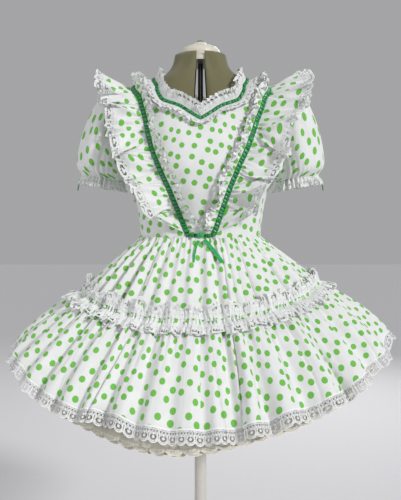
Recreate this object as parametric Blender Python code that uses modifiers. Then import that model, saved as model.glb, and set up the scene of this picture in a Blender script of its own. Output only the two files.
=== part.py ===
"""Frilled polka-dot dress on an adjustable, limbless dress form with a round stand.

Metres, +Z up, +X to the viewer's right, the front towards -Y. The origin is on the floor under
the pole. Heights in the tables are measured from the waist seam, which is where the dress hangs from.
Azimuth is measured round the pole: 0 at the centre front, 90 at the +X side, 180 at the centre back.
"""

import math
from collections import namedtuple

import bpy
import numpy as np

# Driving sizes
WAIST_HEIGHT = 1.03
CLOTH = 0.0012
NET = 0.0010
SEAM = 0.0004
SIDE_SEAM = 0.0007
TRIM_LIFT = 0.0010
PANEL_WALL = 0.004

# Dress form: one row for each horizontal section, sizes in metres
Section = namedtuple("Section", "height half_width front back power")
FORM_SECTIONS = (
    Section(-0.220, 0.163, 0.108, 0.126, 2.2),
    Section(-0.120, 0.155, 0.104, 0.116, 2.2),
    Section(0.000, 0.130, 0.094, 0.092, 2.2),
    Section(0.060, 0.137, 0.104, 0.094, 2.2),
    Section(0.110, 0.148, 0.120, 0.098, 2.3),
    Section(0.160, 0.156, 0.129, 0.102, 2.3),
    Section(0.200, 0.160, 0.123, 0.105, 2.4),
    Section(0.250, 0.163, 0.106, 0.105, 2.4),
    Section(0.300, 0.167, 0.088, 0.096, 2.4),
    Section(0.335, 0.162, 0.075, 0.083, 2.4),
    Section(0.352, 0.144, 0.069, 0.075, 2.3),
    Section(0.366, 0.119, 0.066, 0.070, 2.3),
    Section(0.378, 0.097, 0.064, 0.068, 2.2),
    Section(0.392, 0.078, 0.062, 0.066, 2.1),
    Section(0.412, 0.066, 0.059, 0.062, 2.0),
    Section(0.440, 0.060, 0.057, 0.058, 2.0),
)
PANEL_ROWS = (
    *(-0.215, -0.12, 0.0, 0.08, 0.16, 0.23, 0.29),
    *(0.322, 0.338, 0.351, 0.363, 0.376, 0.393, 0.432),
)
PANEL_COLUMNS = 7

# Width of the slit between two panels, at the front and back and at the sides
Slit = namedtuple("Slit", "height front side")
SLITS = (
    Slit(-0.22, 0.032, 0.016),
    Slit(0.30, 0.030, 0.014),
    Slit(0.44, 0.018, 0.010),
)

# How far the bodice's inner face stands off the form
Ease = namedtuple("Ease", "height gap")
BODICE_EASE = (
    Ease(0.00, 0.0120),
    Ease(0.06, 0.0110),
    Ease(0.11, 0.0090),
    Ease(0.16, 0.0070),
    Ease(0.25, 0.0050),
    Ease(0.32, 0.0062),
    Ease(0.345, 0.0036),
    Ease(0.365, 0.0026),
    Ease(0.40, 0.0018),
)

# Bodice panels: heights of the rows at the side edge, and the neckline, whose height is
# given across the panel from its centre (0) to its shoulder edge (1)
BODICE_ROWS = (
    *(0.0, 0.022, 0.055, 0.10, 0.145, 0.184, 0.208, 0.235),
    *(0.262, 0.289, 0.310, 0.327, 0.340, 0.352, 0.364, 0.375, 0.385),
)
# Columns of a panel across its half, from its centre (0) to its side or shoulder edge (1)
BODICE_COLUMNS = (0.0, 0.21, 0.42, 0.58, 0.72, 0.86, 1.0)
Neckline = namedtuple("Neckline", "across front back")
NECKLINE = (
    Neckline(0.00, 0.286, 0.342),
    Neckline(0.11, 0.302, 0.345),
    Neckline(0.22, 0.324, 0.352),
    Neckline(0.33, 0.350, 0.360),
    Neckline(0.52, 0.370, 0.371),
    Neckline(0.75, 0.380, 0.380),
    Neckline(1.00, 0.385, 0.385),
)
BACK_SEAM = 0.003
ARMHOLE_HEIGHT = 0.262
ARMHOLE_TALL = 0.078
ARMHOLE_DEEP = 0.052

# Sleeve: one row for each ring from the armhole to the cuff, on the +X side.
# turn is how far the ring has turned from facing sideways (0) to facing down (90).
Ring = namedtuple("Ring", "x height turn tall deep")
SLEEVE_RINGS = (
    Ring(0.188, 0.260, 5.0, 0.083, 0.057),
    Ring(0.208, 0.249, 21.0, 0.086, 0.066),
    Ring(0.227, 0.206, 48.0, 0.068, 0.075),
    Ring(0.237, 0.160, 73.0, 0.059, 0.069),
    Ring(0.231, 0.138, 80.0, 0.048, 0.050),
)
SLEEVE_GATHER = 0.0030
CUFF_LACE_WIDTH = 0.024
CUFF_LACE_FLARE = 0.012

# Lines that the trims follow, as the distance from the centre line and the height above
# the waist, from the centre front over the shoulder to the centre back
Mark = namedtuple("Mark", "aside height")
STRAP_FRONT = (
    Mark(0.0300, 0.016),
    Mark(0.0455, 0.058),
    Mark(0.0660, 0.107),
    Mark(0.0920, 0.162),
    Mark(0.1200, 0.230),
    Mark(0.1370, 0.290),
    Mark(0.1460, 0.325),
)
STRAP_BACK = (
    Mark(0.1440, 0.325),
    Mark(0.1380, 0.285),
    Mark(0.1220, 0.215),
    Mark(0.0960, 0.130),
    Mark(0.0720, 0.060),
    Mark(0.0580, 0.016),
)
STRAP_RIDGE_HEIGHT = 0.3475
NECK_FRONT = (
    Mark(0.0000, 0.266),
    Mark(0.0250, 0.281),
    Mark(0.0470, 0.296),
    Mark(0.0700, 0.305),
    Mark(0.0850, 0.312),
    Mark(0.0930, 0.325),
    Mark(0.0990, 0.345),
)
NECK_BACK = (
    Mark(0.0960, 0.350),
    Mark(0.0800, 0.338),
    Mark(0.0500, 0.328),
    Mark(0.0000, 0.324),
)
NECK_RIDGE_HEIGHT = 0.3725

# Trims: widths in metres, lifts in degrees from the panel that they lie on, sweep in degrees
# that the strip's crosswise lines lean along it
STRAP_STATIONS = 41
NECK_STATIONS = 18
TURN_CROWDING = 0.035
FINE_STEPS = 161
STRAP_RIBBON_WIDTH = 0.0100
NECK_RIBBON_WIDTH = 0.0070
RIBBON_THICK = 0.0016
Wing = namedtuple("Wing", "along width lift sweep wave")
WING_ROWS = (
    Wing(0.00, 0.062, 26.0, 42.0, 0.004),
    Wing(0.08, 0.066, 32.0, 36.0, 0.009),
    Wing(0.25, 0.076, 40.0, 22.0, 0.012),
    Wing(0.40, 0.084, 58.0, 9.0, 0.010),
    Wing(0.52, 0.086, 60.0, 0.0, 0.008),
    Wing(0.63, 0.080, 61.0, -9.0, 0.009),
    Wing(0.80, 0.070, 45.0, -22.0, 0.010),
    Wing(0.93, 0.066, 34.0, -36.0, 0.008),
    Wing(1.00, 0.062, 26.0, -42.0, 0.004),
)
WING_LACE_WIDTH = 0.019
INNER_FRILL_WIDTH = 0.020
INNER_FRILL_LIFT = 46.0
FRILL_WAVE = 0.0025
NECK_LACE_WIDTH = 0.027
NECK_LACE_LIFT = 34.0
FLOUNCE_WIDTH = 0.020
FLOUNCE_LIFT = 40.0

# Skirt: the rings that its tiers run between. drop is the fall below the waist at the sides,
# sag is how much lower the ring hangs at the centre front and back, and lean is how much
# higher it hangs on the +X side than midway. Lower tier means from the tier seam to the hem.
Hoop = namedtuple("Hoop", "tier wide front back power drop sag lean")
HOOPS = (
    Hoop(0.0, 0.1430, 0.1070, 0.1050, 2.2, 0.0016, 0.000, 0.000),
    Hoop(1.0, 0.2800, 0.2060, 0.2040, 2.0, 0.1180, 0.056, 0.009),
    Hoop(2.0, 0.4320, 0.3170, 0.3150, 2.0, 0.2420, 0.118, 0.014),
    Hoop(3.0, 0.4490, 0.3320, 0.3300, 2.0, 0.2590, 0.128, 0.015),
)
SAG_POWER = 1.6
LOWER_TIER_PUFF = 0.009

# Folds of the front half, by the azimuth of each crease and its depth beside the deepest.
# The back half repeats them half a turn round.
Fold = namedtuple("Fold", "azimuth depth")
FOLDS = (
    Fold(-84.0, 0.6),
    Fold(-71.0, 0.8),
    Fold(-60.0, 0.5),
    Fold(-51.0, 1.0),
    Fold(-42.0, 0.6),
    Fold(-34.0, 0.7),
    Fold(-26.0, 1.0),
    Fold(-17.0, 0.9),
    Fold(-8.0, 0.6),
    Fold(1.0, 0.7),
    Fold(9.0, 1.0),
    Fold(18.0, 0.9),
    Fold(29.0, 0.6),
    Fold(42.0, 0.7),
    Fold(57.0, 1.0),
    Fold(74.0, 0.7),
)
COLUMNS_PER_FOLD = 2
WAIST_FOLD = 0.0025
TIER_FOLD = 0.0080
HEM_FOLD = 0.0200
TIER_FRILL_HALF = 0.021
TIER_FRILL_STAND = 0.011
TIER_FRILL_WAVE = 0.0045
TIER_LACE_WIDTH = 0.011
SCALLOP = 0.004
HEM_REPEATS = 2
LaceGap = namedtuple("LaceGap", "left right top bottom")
HEM_GAP = LaceGap(0.20, 0.80, 0.42, 0.76)
UNDERSKIRT_INSET = 0.030
UNDERSKIRT_DIP_AZIMUTH = -9.0
UNDERSKIRT_DIP_HALF = 30.0
UNDERSKIRT_DIP = 0.55
UNDERSKIRT_LACE = 0.30

# Tie at the point of the V
KNOT_ACROSS = 0.011
KNOT_TALL = 0.0085
KNOT_DEEP = 0.006
BAND_HEIGHT = 0.0065
BAND_WIDTH = 0.005
TAIL_LIFT = 0.0007
TAIL_WIDTH = 0.006
Tail = namedtuple("Tail", "aside drop")
TAIL_LEFT = (Tail(-0.003, 0.006), Tail(-0.008, 0.022), Tail(-0.011, 0.038), Tail(-0.013, 0.054))
TAIL_RIGHT = (Tail(0.006, 0.005), Tail(0.018, 0.020), Tail(0.031, 0.037), Tail(0.043, 0.056))

# Stand
BASE_RADIUS = 0.205
BASE_PROFILE = (
    (0.000, 0.050),
    (0.020, 0.050),
    (0.022, 0.024),
    (0.040, 0.014),
    (0.190, 0.010),
    (BASE_RADIUS, 0.006),
    (BASE_RADIUS, 0.000),
    (0.000, 0.000),
)
POLE_RADIUS = 0.014
ROD_RADIUS = 0.008
HUB_THICK = 0.010
HUB_GAP = 0.0007
LOWER_HUB_HEIGHT = -0.208
UPPER_HUB_HEIGHT = 0.414
CAP_PROFILE = (
    (0.0000, 0.4647),
    (0.0125, 0.4645),
    (0.0165, 0.4600),
    (0.0205, 0.4565),
    (0.0310, 0.4545),
    (0.0400, 0.4510),
    (0.0455, 0.4450),
    (0.0475, 0.4385),
    (0.0475, 0.4244),
    (0.0000, 0.4244),
)
KNOB_PROFILE = (
    (0.0000, 0.4700),
    (0.0070, 0.4695),
    (0.0095, 0.4670),
    (0.0100, 0.4651),
    (0.0000, 0.4651),
)
TURNED_STEPS = 20

# Colours, roughness and metallic value of each material
Finish = namedtuple("Finish", "colour roughness metallic")
FINISHES = {
    "dotted_cotton": Finish((0.86, 0.90, 0.84), 0.85, 0.0),
    "white_lace": Finish((0.92, 0.92, 0.93), 0.90, 0.0),
    "green_satin": Finish((0.02, 0.36, 0.14), 0.35, 0.0),
    "ivory_net": Finish((0.80, 0.77, 0.68), 0.80, 0.0),
    "olive_jersey": Finish((0.22, 0.20, 0.12), 0.90, 0.0),
    "cream_plastic": Finish((0.86, 0.82, 0.70), 0.40, 0.0),
    "grey_plastic": Finish((0.30, 0.29, 0.27), 0.45, 0.0),
    "bright_steel": Finish((0.72, 0.72, 0.74), 0.25, 1.0),
    "painted_iron": Finish((0.74, 0.73, 0.70), 0.45, 0.0),
}


def column_at(table, column, at):
    """The value of one column of a table between its rows, smooth and with no overshoot."""
    keys = np.array([row[0] for row in table])
    values = np.array([getattr(row, column) for row in table])
    steps = np.diff(values) / np.diff(keys)
    slopes = np.zeros(len(keys))
    for i in range(1, len(keys) - 1):
        before, after = steps[i - 1], steps[i]
        if before * after > 0:
            slopes[i] = 2 * before * after / (before + after)
    slopes[0], slopes[-1] = steps[0], steps[-1]
    at = min(max(at, keys[0]), keys[-1])
    i = min(int(np.searchsorted(keys, at, side="right")) - 1, len(keys) - 2)
    width = keys[i + 1] - keys[i]
    t = (at - keys[i]) / width
    rest = 1 - t
    return float(
        values[i] * (1 + 2 * t) * rest**2
        + slopes[i] * width * t * rest**2
        + values[i + 1] * t**2 * (3 - 2 * t)
        - slopes[i + 1] * width * t**2 * rest
    )


def signed_power(value, power):
    return math.copysign(abs(value) ** power, value)


def unit(vector):
    return vector / np.linalg.norm(vector)


def form_face(azimuth, height):
    """A point on the smooth outer face of the form. Azimuth in radians."""
    half_width = column_at(FORM_SECTIONS, "half_width", height)
    power = 2 / column_at(FORM_SECTIONS, "power", height)
    side = "front" if math.cos(azimuth) > 0 else "back"
    depth = column_at(FORM_SECTIONS, side, height)
    return np.array(
        (
            half_width * signed_power(math.sin(azimuth), power),
            -depth * signed_power(math.cos(azimuth), power),
            height,
        )
    )


def form_normal(azimuth, height):
    """The outward direction of the form's face."""
    turn, rise = 0.03, 0.003
    across = form_face(azimuth + turn, height) - form_face(azimuth - turn, height)
    up = form_face(azimuth, height + rise) - form_face(azimuth, height - rise)
    return unit(np.cross(across, up))


def azimuth_aside(aside, height, back=False):
    """The azimuth where the form's face is this far from the centre line."""
    half_width = column_at(FORM_SECTIONS, "half_width", height)
    power = column_at(FORM_SECTIONS, "power", height) / 2
    angle = math.asin(min(1.0, aside / half_width) ** power)
    return math.pi - angle if back else angle


def azimuth_deep(deep, height, back=False):
    """The azimuth where the form's face is this far in front of its side line, or behind it."""
    depth = column_at(FORM_SECTIONS, "back" if back else "front", height)
    power = column_at(FORM_SECTIONS, "power", height) / 2
    angle = math.acos(min(1.0, deep / depth) ** power)
    return math.pi - angle if back else angle


def bodice_face(azimuth, height, out=0.0):
    """A point out from the bodice's inner face."""
    gap = column_at(BODICE_EASE, "gap", height)
    return form_face(azimuth, height) + (gap + out) * form_normal(azimuth, height)


def split_outward(points, face):
    """Two triangles for a face of four points, split so that its middle stands out, not in."""
    a, b, c, d = (points[i] for i in face)
    out = np.cross(c - a, d - b)
    if np.dot(a + c - b - d, out) > 0:
        return [(face[0], face[1], face[2]), (face[0], face[2], face[3])]
    return [(face[1], face[2], face[3]), (face[1], face[3], face[0])]


def materials():
    made = {}
    for name, finish in FINISHES.items():
        material = bpy.data.materials.new(name)
        material.use_nodes = True
        shader = material.node_tree.nodes["Principled BSDF"]
        shader.inputs["Base Color"].default_value = (*finish.colour, 1.0)
        shader.inputs["Roughness"].default_value = finish.roughness
        shader.inputs["Metallic"].default_value = finish.metallic
        made[name] = material
    return made


class Maker:
    """Makes the named objects in one collection, each on the empty at the waist."""

    def __init__(self):
        self.collection = bpy.data.collections.new("dress_on_form")
        bpy.context.scene.collection.children.link(self.collection)
        self.finishes = materials()
        self.waist = bpy.data.objects.new("waist", None)
        self.waist.location = (0, 0, WAIST_HEIGHT)
        self.collection.objects.link(self.waist)

    def add(self, obj, finish, smooth=True):
        """Puts an object that was made in waist coordinates in its place."""
        for collection in list(obj.users_collection):
            collection.objects.unlink(obj)
        self.collection.objects.link(obj)
        obj.parent = self.waist
        obj.data.materials.append(self.finishes[finish])
        if smooth and obj.type == "MESH":
            obj.data.shade_smooth()
        return obj

    def sheet(self, name, rows, finish, thick, wrap=False, flip=False, out=1.0):
        """A wall that is thick on the outer side of rows of points, or inner with out -1.

        The outer side is the one that faces the viewer when a row runs to the right and
        the next row lies above it. With wrap, each row is a closed ring.
        """
        rows = np.array(rows)
        high, wide = rows.shape[:2]
        points = rows.reshape(-1, 3)
        last = wide if wrap else wide - 1
        faces = []
        for row in range(high - 1):
            for column in range(last):
                left, right = row * wide + column, row * wide + (column + 1) % wide
                face = (left, right, right + wide, left + wide)
                faces += split_outward(points, face[::-1] if flip else face)
        return self.wall(name, points, faces, finish, thick, out)

    def wall(self, name, points, faces, finish, thick, out=1.0):
        """A wall that is thick on the side that its faces look to."""
        mesh = bpy.data.meshes.new(name)
        mesh.from_pydata([tuple(point) for point in points], [], faces)
        obj = bpy.data.objects.new(name, mesh)
        self.collection.objects.link(obj)
        wall = obj.modifiers.new("wall", "SOLIDIFY")
        wall.thickness = thick
        wall.offset = out
        wall.use_even_offset = False
        return self.add(obj, finish)

    def turned(self, name, profile, finish, from_floor=False):
        """A solid turned about the pole, from a profile of radius and height, top to bottom."""
        points = [(radius, 0.0, height) for radius, height in profile]
        mesh = bpy.data.meshes.new(name)
        mesh.from_pydata(points, [(i, i + 1) for i in range(len(points) - 1)], [])
        obj = bpy.data.objects.new(name, mesh)
        self.collection.objects.link(obj)
        screw = obj.modifiers.new("turned", "SCREW")
        screw.steps = TURNED_STEPS
        screw.render_steps = TURNED_STEPS
        screw.use_merge_vertices = True
        screw.merge_threshold = 0.0001
        if from_floor:
            obj.location = (0, 0, -WAIST_HEIGHT)
        return self.add(obj, finish)

    def rod(self, name, radius, low, high, finish):
        bpy.ops.mesh.primitive_cylinder_add(vertices=20, radius=radius, depth=high - low)
        obj = bpy.context.object
        obj.name = name
        obj.location = (0, 0, (low + high) / 2)
        return self.add(obj, finish, smooth=False)

    def plate(self, name, outline, low, thick, finish):
        """A flat plate from its outline, a closed line of points seen from above."""
        curve = bpy.data.curves.new(name, "CURVE")
        curve.dimensions = "2D"
        curve.fill_mode = "BOTH"
        curve.extrude = thick / 2
        spline = curve.splines.new("POLY")
        spline.points.add(len(outline) - 1)
        for point, (x, y) in zip(spline.points, outline):
            point.co = (x, y, 0, 1)
        spline.use_cyclic_u = True
        obj = bpy.data.objects.new(name, curve)
        obj.location = (0, 0, low + thick / 2)
        self.collection.objects.link(obj)
        return self.add(obj, finish)


# Dress form


def panel_azimuths(height, back):
    """The azimuths of a panel's columns on the +X side, from its front or back slit to the side slit."""
    slit = azimuth_aside(column_at(SLITS, "front", height) / 2, height, back)
    side = azimuth_deep(column_at(SLITS, "side", height) / 2, height, back)
    return np.linspace(slit, side, PANEL_COLUMNS)


def make_form(maker):
    for side_name, side in (("left", -1), ("right", 1)):
        for end_name, back in (("front", False), ("back", True)):
            rows = []
            for height in PANEL_ROWS:
                row = [form_face(side * azimuth, height) for azimuth in panel_azimuths(height, back)]
                rows.append(row)
            maker.sheet(
                f"form_{end_name}_{side_name}",
                rows,
                "olive_jersey",
                PANEL_WALL,
                flip=(side < 0) != back,
                out=-1.0,
            )


def hub_outline(low):
    """The form's section at a hub's top, where it is smaller, inside the panels' walls."""
    height = low + HUB_THICK
    quarter = [*panel_azimuths(height, False), *panel_azimuths(height, True)[::-1]]
    azimuths = [*quarter, *[-azimuth for azimuth in reversed(quarter)]]
    outline = []
    for azimuth in azimuths:
        point = form_face(azimuth, height) - (PANEL_WALL + HUB_GAP) * form_normal(azimuth, height)
        outline.append((point[0], point[1]))
    return outline


def make_stand(maker):
    maker.turned("form_base", BASE_PROFILE, "painted_iron", from_floor=True)
    socket_top = max(height for _, height in BASE_PROFILE)
    lower = LOWER_HUB_HEIGHT
    upper = UPPER_HUB_HEIGHT
    maker.rod("form_pole", POLE_RADIUS, socket_top - WAIST_HEIGHT + SEAM, lower - SEAM, "painted_iron")
    maker.plate("form_hub_lower", hub_outline(lower), lower, HUB_THICK, "painted_iron")
    maker.rod("form_rod", ROD_RADIUS, lower + HUB_THICK + SEAM, upper - SEAM, "bright_steel")
    maker.plate("form_hub_upper", hub_outline(upper), upper, HUB_THICK, "cream_plastic")
    maker.turned("form_cap", CAP_PROFILE, "cream_plastic")
    maker.turned("form_knob", KNOB_PROFILE, "grey_plastic")


# Bodice


def armhole_deep(height):
    """How far the armhole's edge, or the side seam's, is from the side line at this height."""
    rise = (height - ARMHOLE_HEIGHT) / ARMHOLE_TALL
    return max(SIDE_SEAM / 2, ARMHOLE_DEEP * math.sqrt(max(0.0, 1 - rise * rise)))


def bodice_rows(back, columns):
    """A panel's points, from its bottom edge up. Columns run from -1, the left edge, to 1."""
    neck = "back" if back else "front"
    rows = []
    for side_height in BODICE_ROWS:
        row = []
        for across in columns:
            top = column_at(NECKLINE, neck, abs(across))
            height = side_height * top / BODICE_ROWS[-1]
            edge = azimuth_deep(armhole_deep(height), height)
            if back:
                edge = math.pi - azimuth_deep(armhole_deep(height), height, True)
            turn = across * edge
            row.append(bodice_face(math.pi - turn if back else turn, height))
        rows.append(row)
    return rows


def make_bodice(maker):
    half = np.array(BODICE_COLUMNS)
    across = [*-half[:0:-1], *half]
    maker.sheet("bodice_front", bodice_rows(False, across), "dotted_cotton", CLOTH)
    half[0] = BACK_SEAM
    maker.sheet("bodice_back_right", bodice_rows(True, half), "dotted_cotton", CLOTH, flip=True)
    maker.sheet("bodice_back_left", bodice_rows(True, -half), "dotted_cotton", CLOTH)


# Sleeves


def armhole_ring(side, out):
    """The armhole's edge as points from its top, down the front and up the back, with their angles."""
    heights = [h for h in BODICE_ROWS if abs(h - ARMHOLE_HEIGHT) <= ARMHOLE_TALL + 1e-6][::-1]
    ring, angles = [], []
    for back, line in ((False, heights), (True, heights[::-1])):
        for height in line[:-1]:
            end = height in (heights[0], heights[-1])
            azimuth = math.pi / 2 if end else azimuth_deep(armhole_deep(height), height, back)
            ring.append(bodice_face(side * azimuth, height, out))
            angle = math.acos(max(-1.0, min(1.0, (height - ARMHOLE_HEIGHT) / ARMHOLE_TALL)))
            angles.append(2 * math.pi - angle if back else angle)
    count = len(ring)
    angles.append(2 * math.pi)
    points = []
    turns = []
    for i in range(count):
        points += [ring[i], (ring[i] + ring[(i + 1) % count]) / 2]
        turns += [angles[i], (angles[i] + angles[i + 1]) / 2]
    return points, turns


def sleeve_point(side, ring, angle, gather):
    """A point of a sleeve ring. The angle runs from the top, down the front, round to the back."""
    turn = math.radians(ring.turn)
    up = np.array((math.sin(turn), 0, math.cos(turn)))
    forward = np.array((0, -1, 0))
    spread = up * (ring.tall + gather) * math.cos(angle) + forward * (ring.deep + gather) * math.sin(angle)
    point = np.array((ring.x, 0, ring.height)) + spread
    return point * np.array((side, 1, 1))


def make_sleeves(maker):
    for name, side in (("left", -1), ("right", 1)):
        first, angles = armhole_ring(side, CLOTH + 3 * SEAM)
        rows = [first]
        for i, ring in enumerate(SLEEVE_RINGS):
            puff = SLEEVE_GATHER * (i + 1) / len(SLEEVE_RINGS)
            rows.append(
                [
                    sleeve_point(side, ring, angle, puff * (1 - 2 * (k % 2)))
                    for k, angle in enumerate(angles)
                ]
            )
        maker.sheet(f"sleeve_{name}", rows, "dotted_cotton", CLOTH, wrap=True, flip=side < 0)
        cuff = SLEEVE_RINGS[-1]
        turn = math.radians(cuff.turn)
        down = np.array((side * math.cos(turn), 0, -math.sin(turn)))
        lace = []
        for flare, fall in ((0.0, 0.0019), (CUFF_LACE_FLARE, CUFF_LACE_WIDTH)):
            row = []
            for k, angle in enumerate(angles):
                wave = SLEEVE_GATHER * (1 - 2 * (k % 2)) * (1 + 0.6 * (flare > 0))
                row.append(sleeve_point(side, cuff, angle, wave + flare) + down * fall)
            lace.append(row)
        maker.sheet(f"cuff_lace_{name}", lace, "white_lace", NET, wrap=True, flip=side < 0)


# Lines on the bodice


def line_between(marks, count):
    """Azimuths and heights of points along a smooth line, closer together where it bends."""
    marks = np.array(marks)
    places = np.array([bodice_face(azimuth, height) for azimuth, height in marks])
    lengths = np.concatenate(([0.0], np.cumsum(np.linalg.norm(np.diff(places, axis=0), axis=1))))
    slopes = np.gradient(marks, lengths, axis=0)
    fine = []
    for at in np.linspace(0, lengths[-1], FINE_STEPS):
        i = min(int(np.searchsorted(lengths, at, side="right")) - 1, len(marks) - 2)
        width = lengths[i + 1] - lengths[i]
        t = (at - lengths[i]) / width
        rest = 1 - t
        fine.append(
            marks[i] * (1 + 2 * t) * rest**2
            + slopes[i] * width * t * rest**2
            + marks[i + 1] * t**2 * (3 - 2 * t)
            - slopes[i + 1] * width * t**2 * rest
        )
    fine = np.array(fine)
    points = np.array([bodice_face(azimuth, height) for azimuth, height in fine])
    normals = np.array([form_normal(azimuth, height) for azimuth, height in fine])
    steps = np.linalg.norm(np.diff(points, axis=0), axis=1)
    steps += TURN_CROWDING * np.linalg.norm(np.diff(normals, axis=0), axis=1)
    measure = np.concatenate(([0.0], np.cumsum(steps)))
    even = np.linspace(0, measure[-1], count)
    return np.column_stack([np.interp(even, measure, fine[:, k]) for k in (0, 1)])


def marks_to_line(front, ridge_height, back):
    """Azimuths and heights of a line from the front, over the shoulder's ridge, to the back."""
    line = [(azimuth_aside(m.aside, m.height), m.height) for m in front]
    line.append((math.pi / 2, ridge_height))
    line += [(azimuth_aside(m.aside, m.height, True), m.height) for m in back]
    return line


Station = namedtuple("Station", "point out along")


def stations(line, side, wrap=False, lift=TRIM_LIFT):
    """Each point of a line with its outward and lengthwise directions, on the +X side or mirrored."""
    flip = np.array((side, 1, 1))
    points = [bodice_face(azimuth, height, CLOTH + lift) * flip for azimuth, height in line]
    result = []
    count = len(points)
    for i, (azimuth, height) in enumerate(line):
        before = points[i - 1] if i or wrap else points[i]
        after = points[(i + 1) % count] if i < count - 1 or wrap else points[i]
        out = form_normal(azimuth, height) * flip
        result.append(Station(points[i], out, unit(after - before)))
    return result


def strap_stations(side):
    line = line_between(marks_to_line(STRAP_FRONT, STRAP_RIDGE_HEIGHT, STRAP_BACK), STRAP_STATIONS)
    return stations(line, side)


def neck_stations():
    half = line_between(marks_to_line(NECK_FRONT, NECK_RIDGE_HEIGHT, NECK_BACK), NECK_STATIONS + 1)
    loop = [*half, *[np.array((-azimuth, height)) for azimuth, height in half[-2:0:-1]]]
    return stations(loop, 1, wrap=True)


def aside(station, toward):
    """The direction across a line, lying on the bodice. toward is 1 or -1."""
    return unit(np.cross(station.along, station.out)) * toward


def make_ribbon(maker, name, line, width, wrap=False):
    edges = []
    for toward in (-1, 1):
        edges.append([s.point + aside(s, toward) * width / 2 for s in line])
    maker.sheet(name, edges, "green_satin", RIBBON_THICK, wrap=wrap, flip=True)


Strip = namedtuple("Strip", "line toward start shape")


def strip_rows(strip, reaches):
    """Rows of a gathered strip beside a line, four stations to each of its waves.

    start is the gap from the line. shape gives the width, lift and sweep along it, and the height of
    its waves at the width. Each reach is a share of the width and a distance beyond it.
    """
    rows = []
    for share, beyond in reaches:
        row = []
        for i, s in enumerate(strip.line):
            width, lift, sweep, wave = strip.shape(i / (len(strip.line) - 1))
            lift, sweep = math.radians(lift), math.radians(sweep)
            across = aside(s, strip.toward)
            lean = across * math.cos(lift) + s.out * math.sin(lift)
            stand = s.out * math.cos(lift) - across * math.sin(lift)
            reach = lean * math.cos(sweep) + s.along * math.sin(sweep)
            distance = width * share + beyond
            swing = wave * distance / width * math.sin(math.pi * i / 2)
            row.append(s.point + across * strip.start + reach * distance + stand * swing)
        rows.append(row)
    return rows


ROOT_TO_EDGE = ((0.0, 0.0), (1.0, 0.0))


def wing_shape(along):
    return [column_at(WING_ROWS, column, along) for column in ("width", "lift", "sweep", "wave")]


def even_shape(width, lift):
    return lambda _: (width, lift, 0.0, FRILL_WAVE)


def start_beside(ribbon_width, thick):
    """How far from the middle of a ribbon a strip starts, so that its lifted wall clears the ribbon."""
    return ribbon_width / 2 + SEAM + thick


def make_straps(maker):
    start = start_beside(STRAP_RIBBON_WIDTH, CLOTH)
    for name, side in (("left", -1), ("right", 1)):
        line = strap_stations(side)
        make_ribbon(maker, f"strap_ribbon_{name}", line, STRAP_RIBBON_WIDTH)
        wing = Strip(line, side, start, wing_shape)
        maker.sheet(f"wing_{name}", strip_rows(wing, ROOT_TO_EDGE), "dotted_cotton", CLOTH, flip=side > 0)
        lace = strip_rows(wing, ((1.0, 3.5 * SEAM), (1.0, WING_LACE_WIDTH)))
        maker.sheet(f"wing_lace_{name}", lace, "white_lace", NET, flip=side > 0)
        inner = Strip(line, -side, start, even_shape(INNER_FRILL_WIDTH, INNER_FRILL_LIFT))
        rows = strip_rows(inner, ROOT_TO_EDGE)
        maker.sheet(f"inner_frill_{name}", rows, "dotted_cotton", CLOTH, flip=side < 0)


def make_neck(maker):
    line = neck_stations()
    start = start_beside(NECK_RIBBON_WIDTH, NET)
    make_ribbon(maker, "neck_ribbon", line, NECK_RIBBON_WIDTH, wrap=True)
    lace = Strip(line, -1, start, even_shape(NECK_LACE_WIDTH, NECK_LACE_LIFT))
    maker.sheet("neck_lace", strip_rows(lace, ROOT_TO_EDGE), "white_lace", NET, wrap=True)
    flounce = Strip(line, 1, start, even_shape(FLOUNCE_WIDTH, FLOUNCE_LIFT))
    maker.sheet("neck_flounce", strip_rows(flounce, ROOT_TO_EDGE), "white_lace", NET, wrap=True, flip=True)


# Skirt


def skirt_base(azimuth, tier):
    """A point on the skirt with no folds. tier runs from 0 at the waist to 3 at the lace's edge."""
    wide = column_at(HOOPS, "wide", tier)
    side = "front" if math.cos(azimuth) > 0 else "back"
    deep = column_at(HOOPS, side, tier)
    power = 2 / column_at(HOOPS, "power", tier)
    sag = column_at(HOOPS, "sag", tier) * abs(math.cos(azimuth)) ** SAG_POWER
    lean = column_at(HOOPS, "lean", tier) * math.sin(azimuth)
    drop = column_at(HOOPS, "drop", tier) + sag - lean
    x = wide * signed_power(math.sin(azimuth), power)
    return np.array((x, -deep * signed_power(math.cos(azimuth), power), -drop))


def skirt_out(azimuth, tier):
    """The outward direction of the skirt with no folds."""
    turn, step = 0.02, 0.05
    low, high = max(0.0, tier - step), min(3.0, tier + step)
    across = skirt_base(azimuth + turn, tier) - skirt_base(azimuth - turn, tier)
    up = skirt_base(azimuth, low) - skirt_base(azimuth, high)
    return unit(np.cross(across, up))


def fold_columns():
    """The azimuth of each column round the skirt and how far it lies between crest (0) and crease (1)."""
    creases = [(math.radians(f.azimuth), f.depth) for f in FOLDS]
    creases += [(math.radians(f.azimuth) + math.pi, f.depth) for f in FOLDS]
    columns = []
    for i, (azimuth, depth) in enumerate(creases):
        after = creases[(i + 1) % len(creases)][0] + (2 * math.pi if i + 1 == len(creases) else 0)
        columns.append((azimuth, depth))
        for k in range(1, COLUMNS_PER_FOLD):
            columns.append((azimuth + (after - azimuth) * k / COLUMNS_PER_FOLD, 0.0))
    return columns


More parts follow.
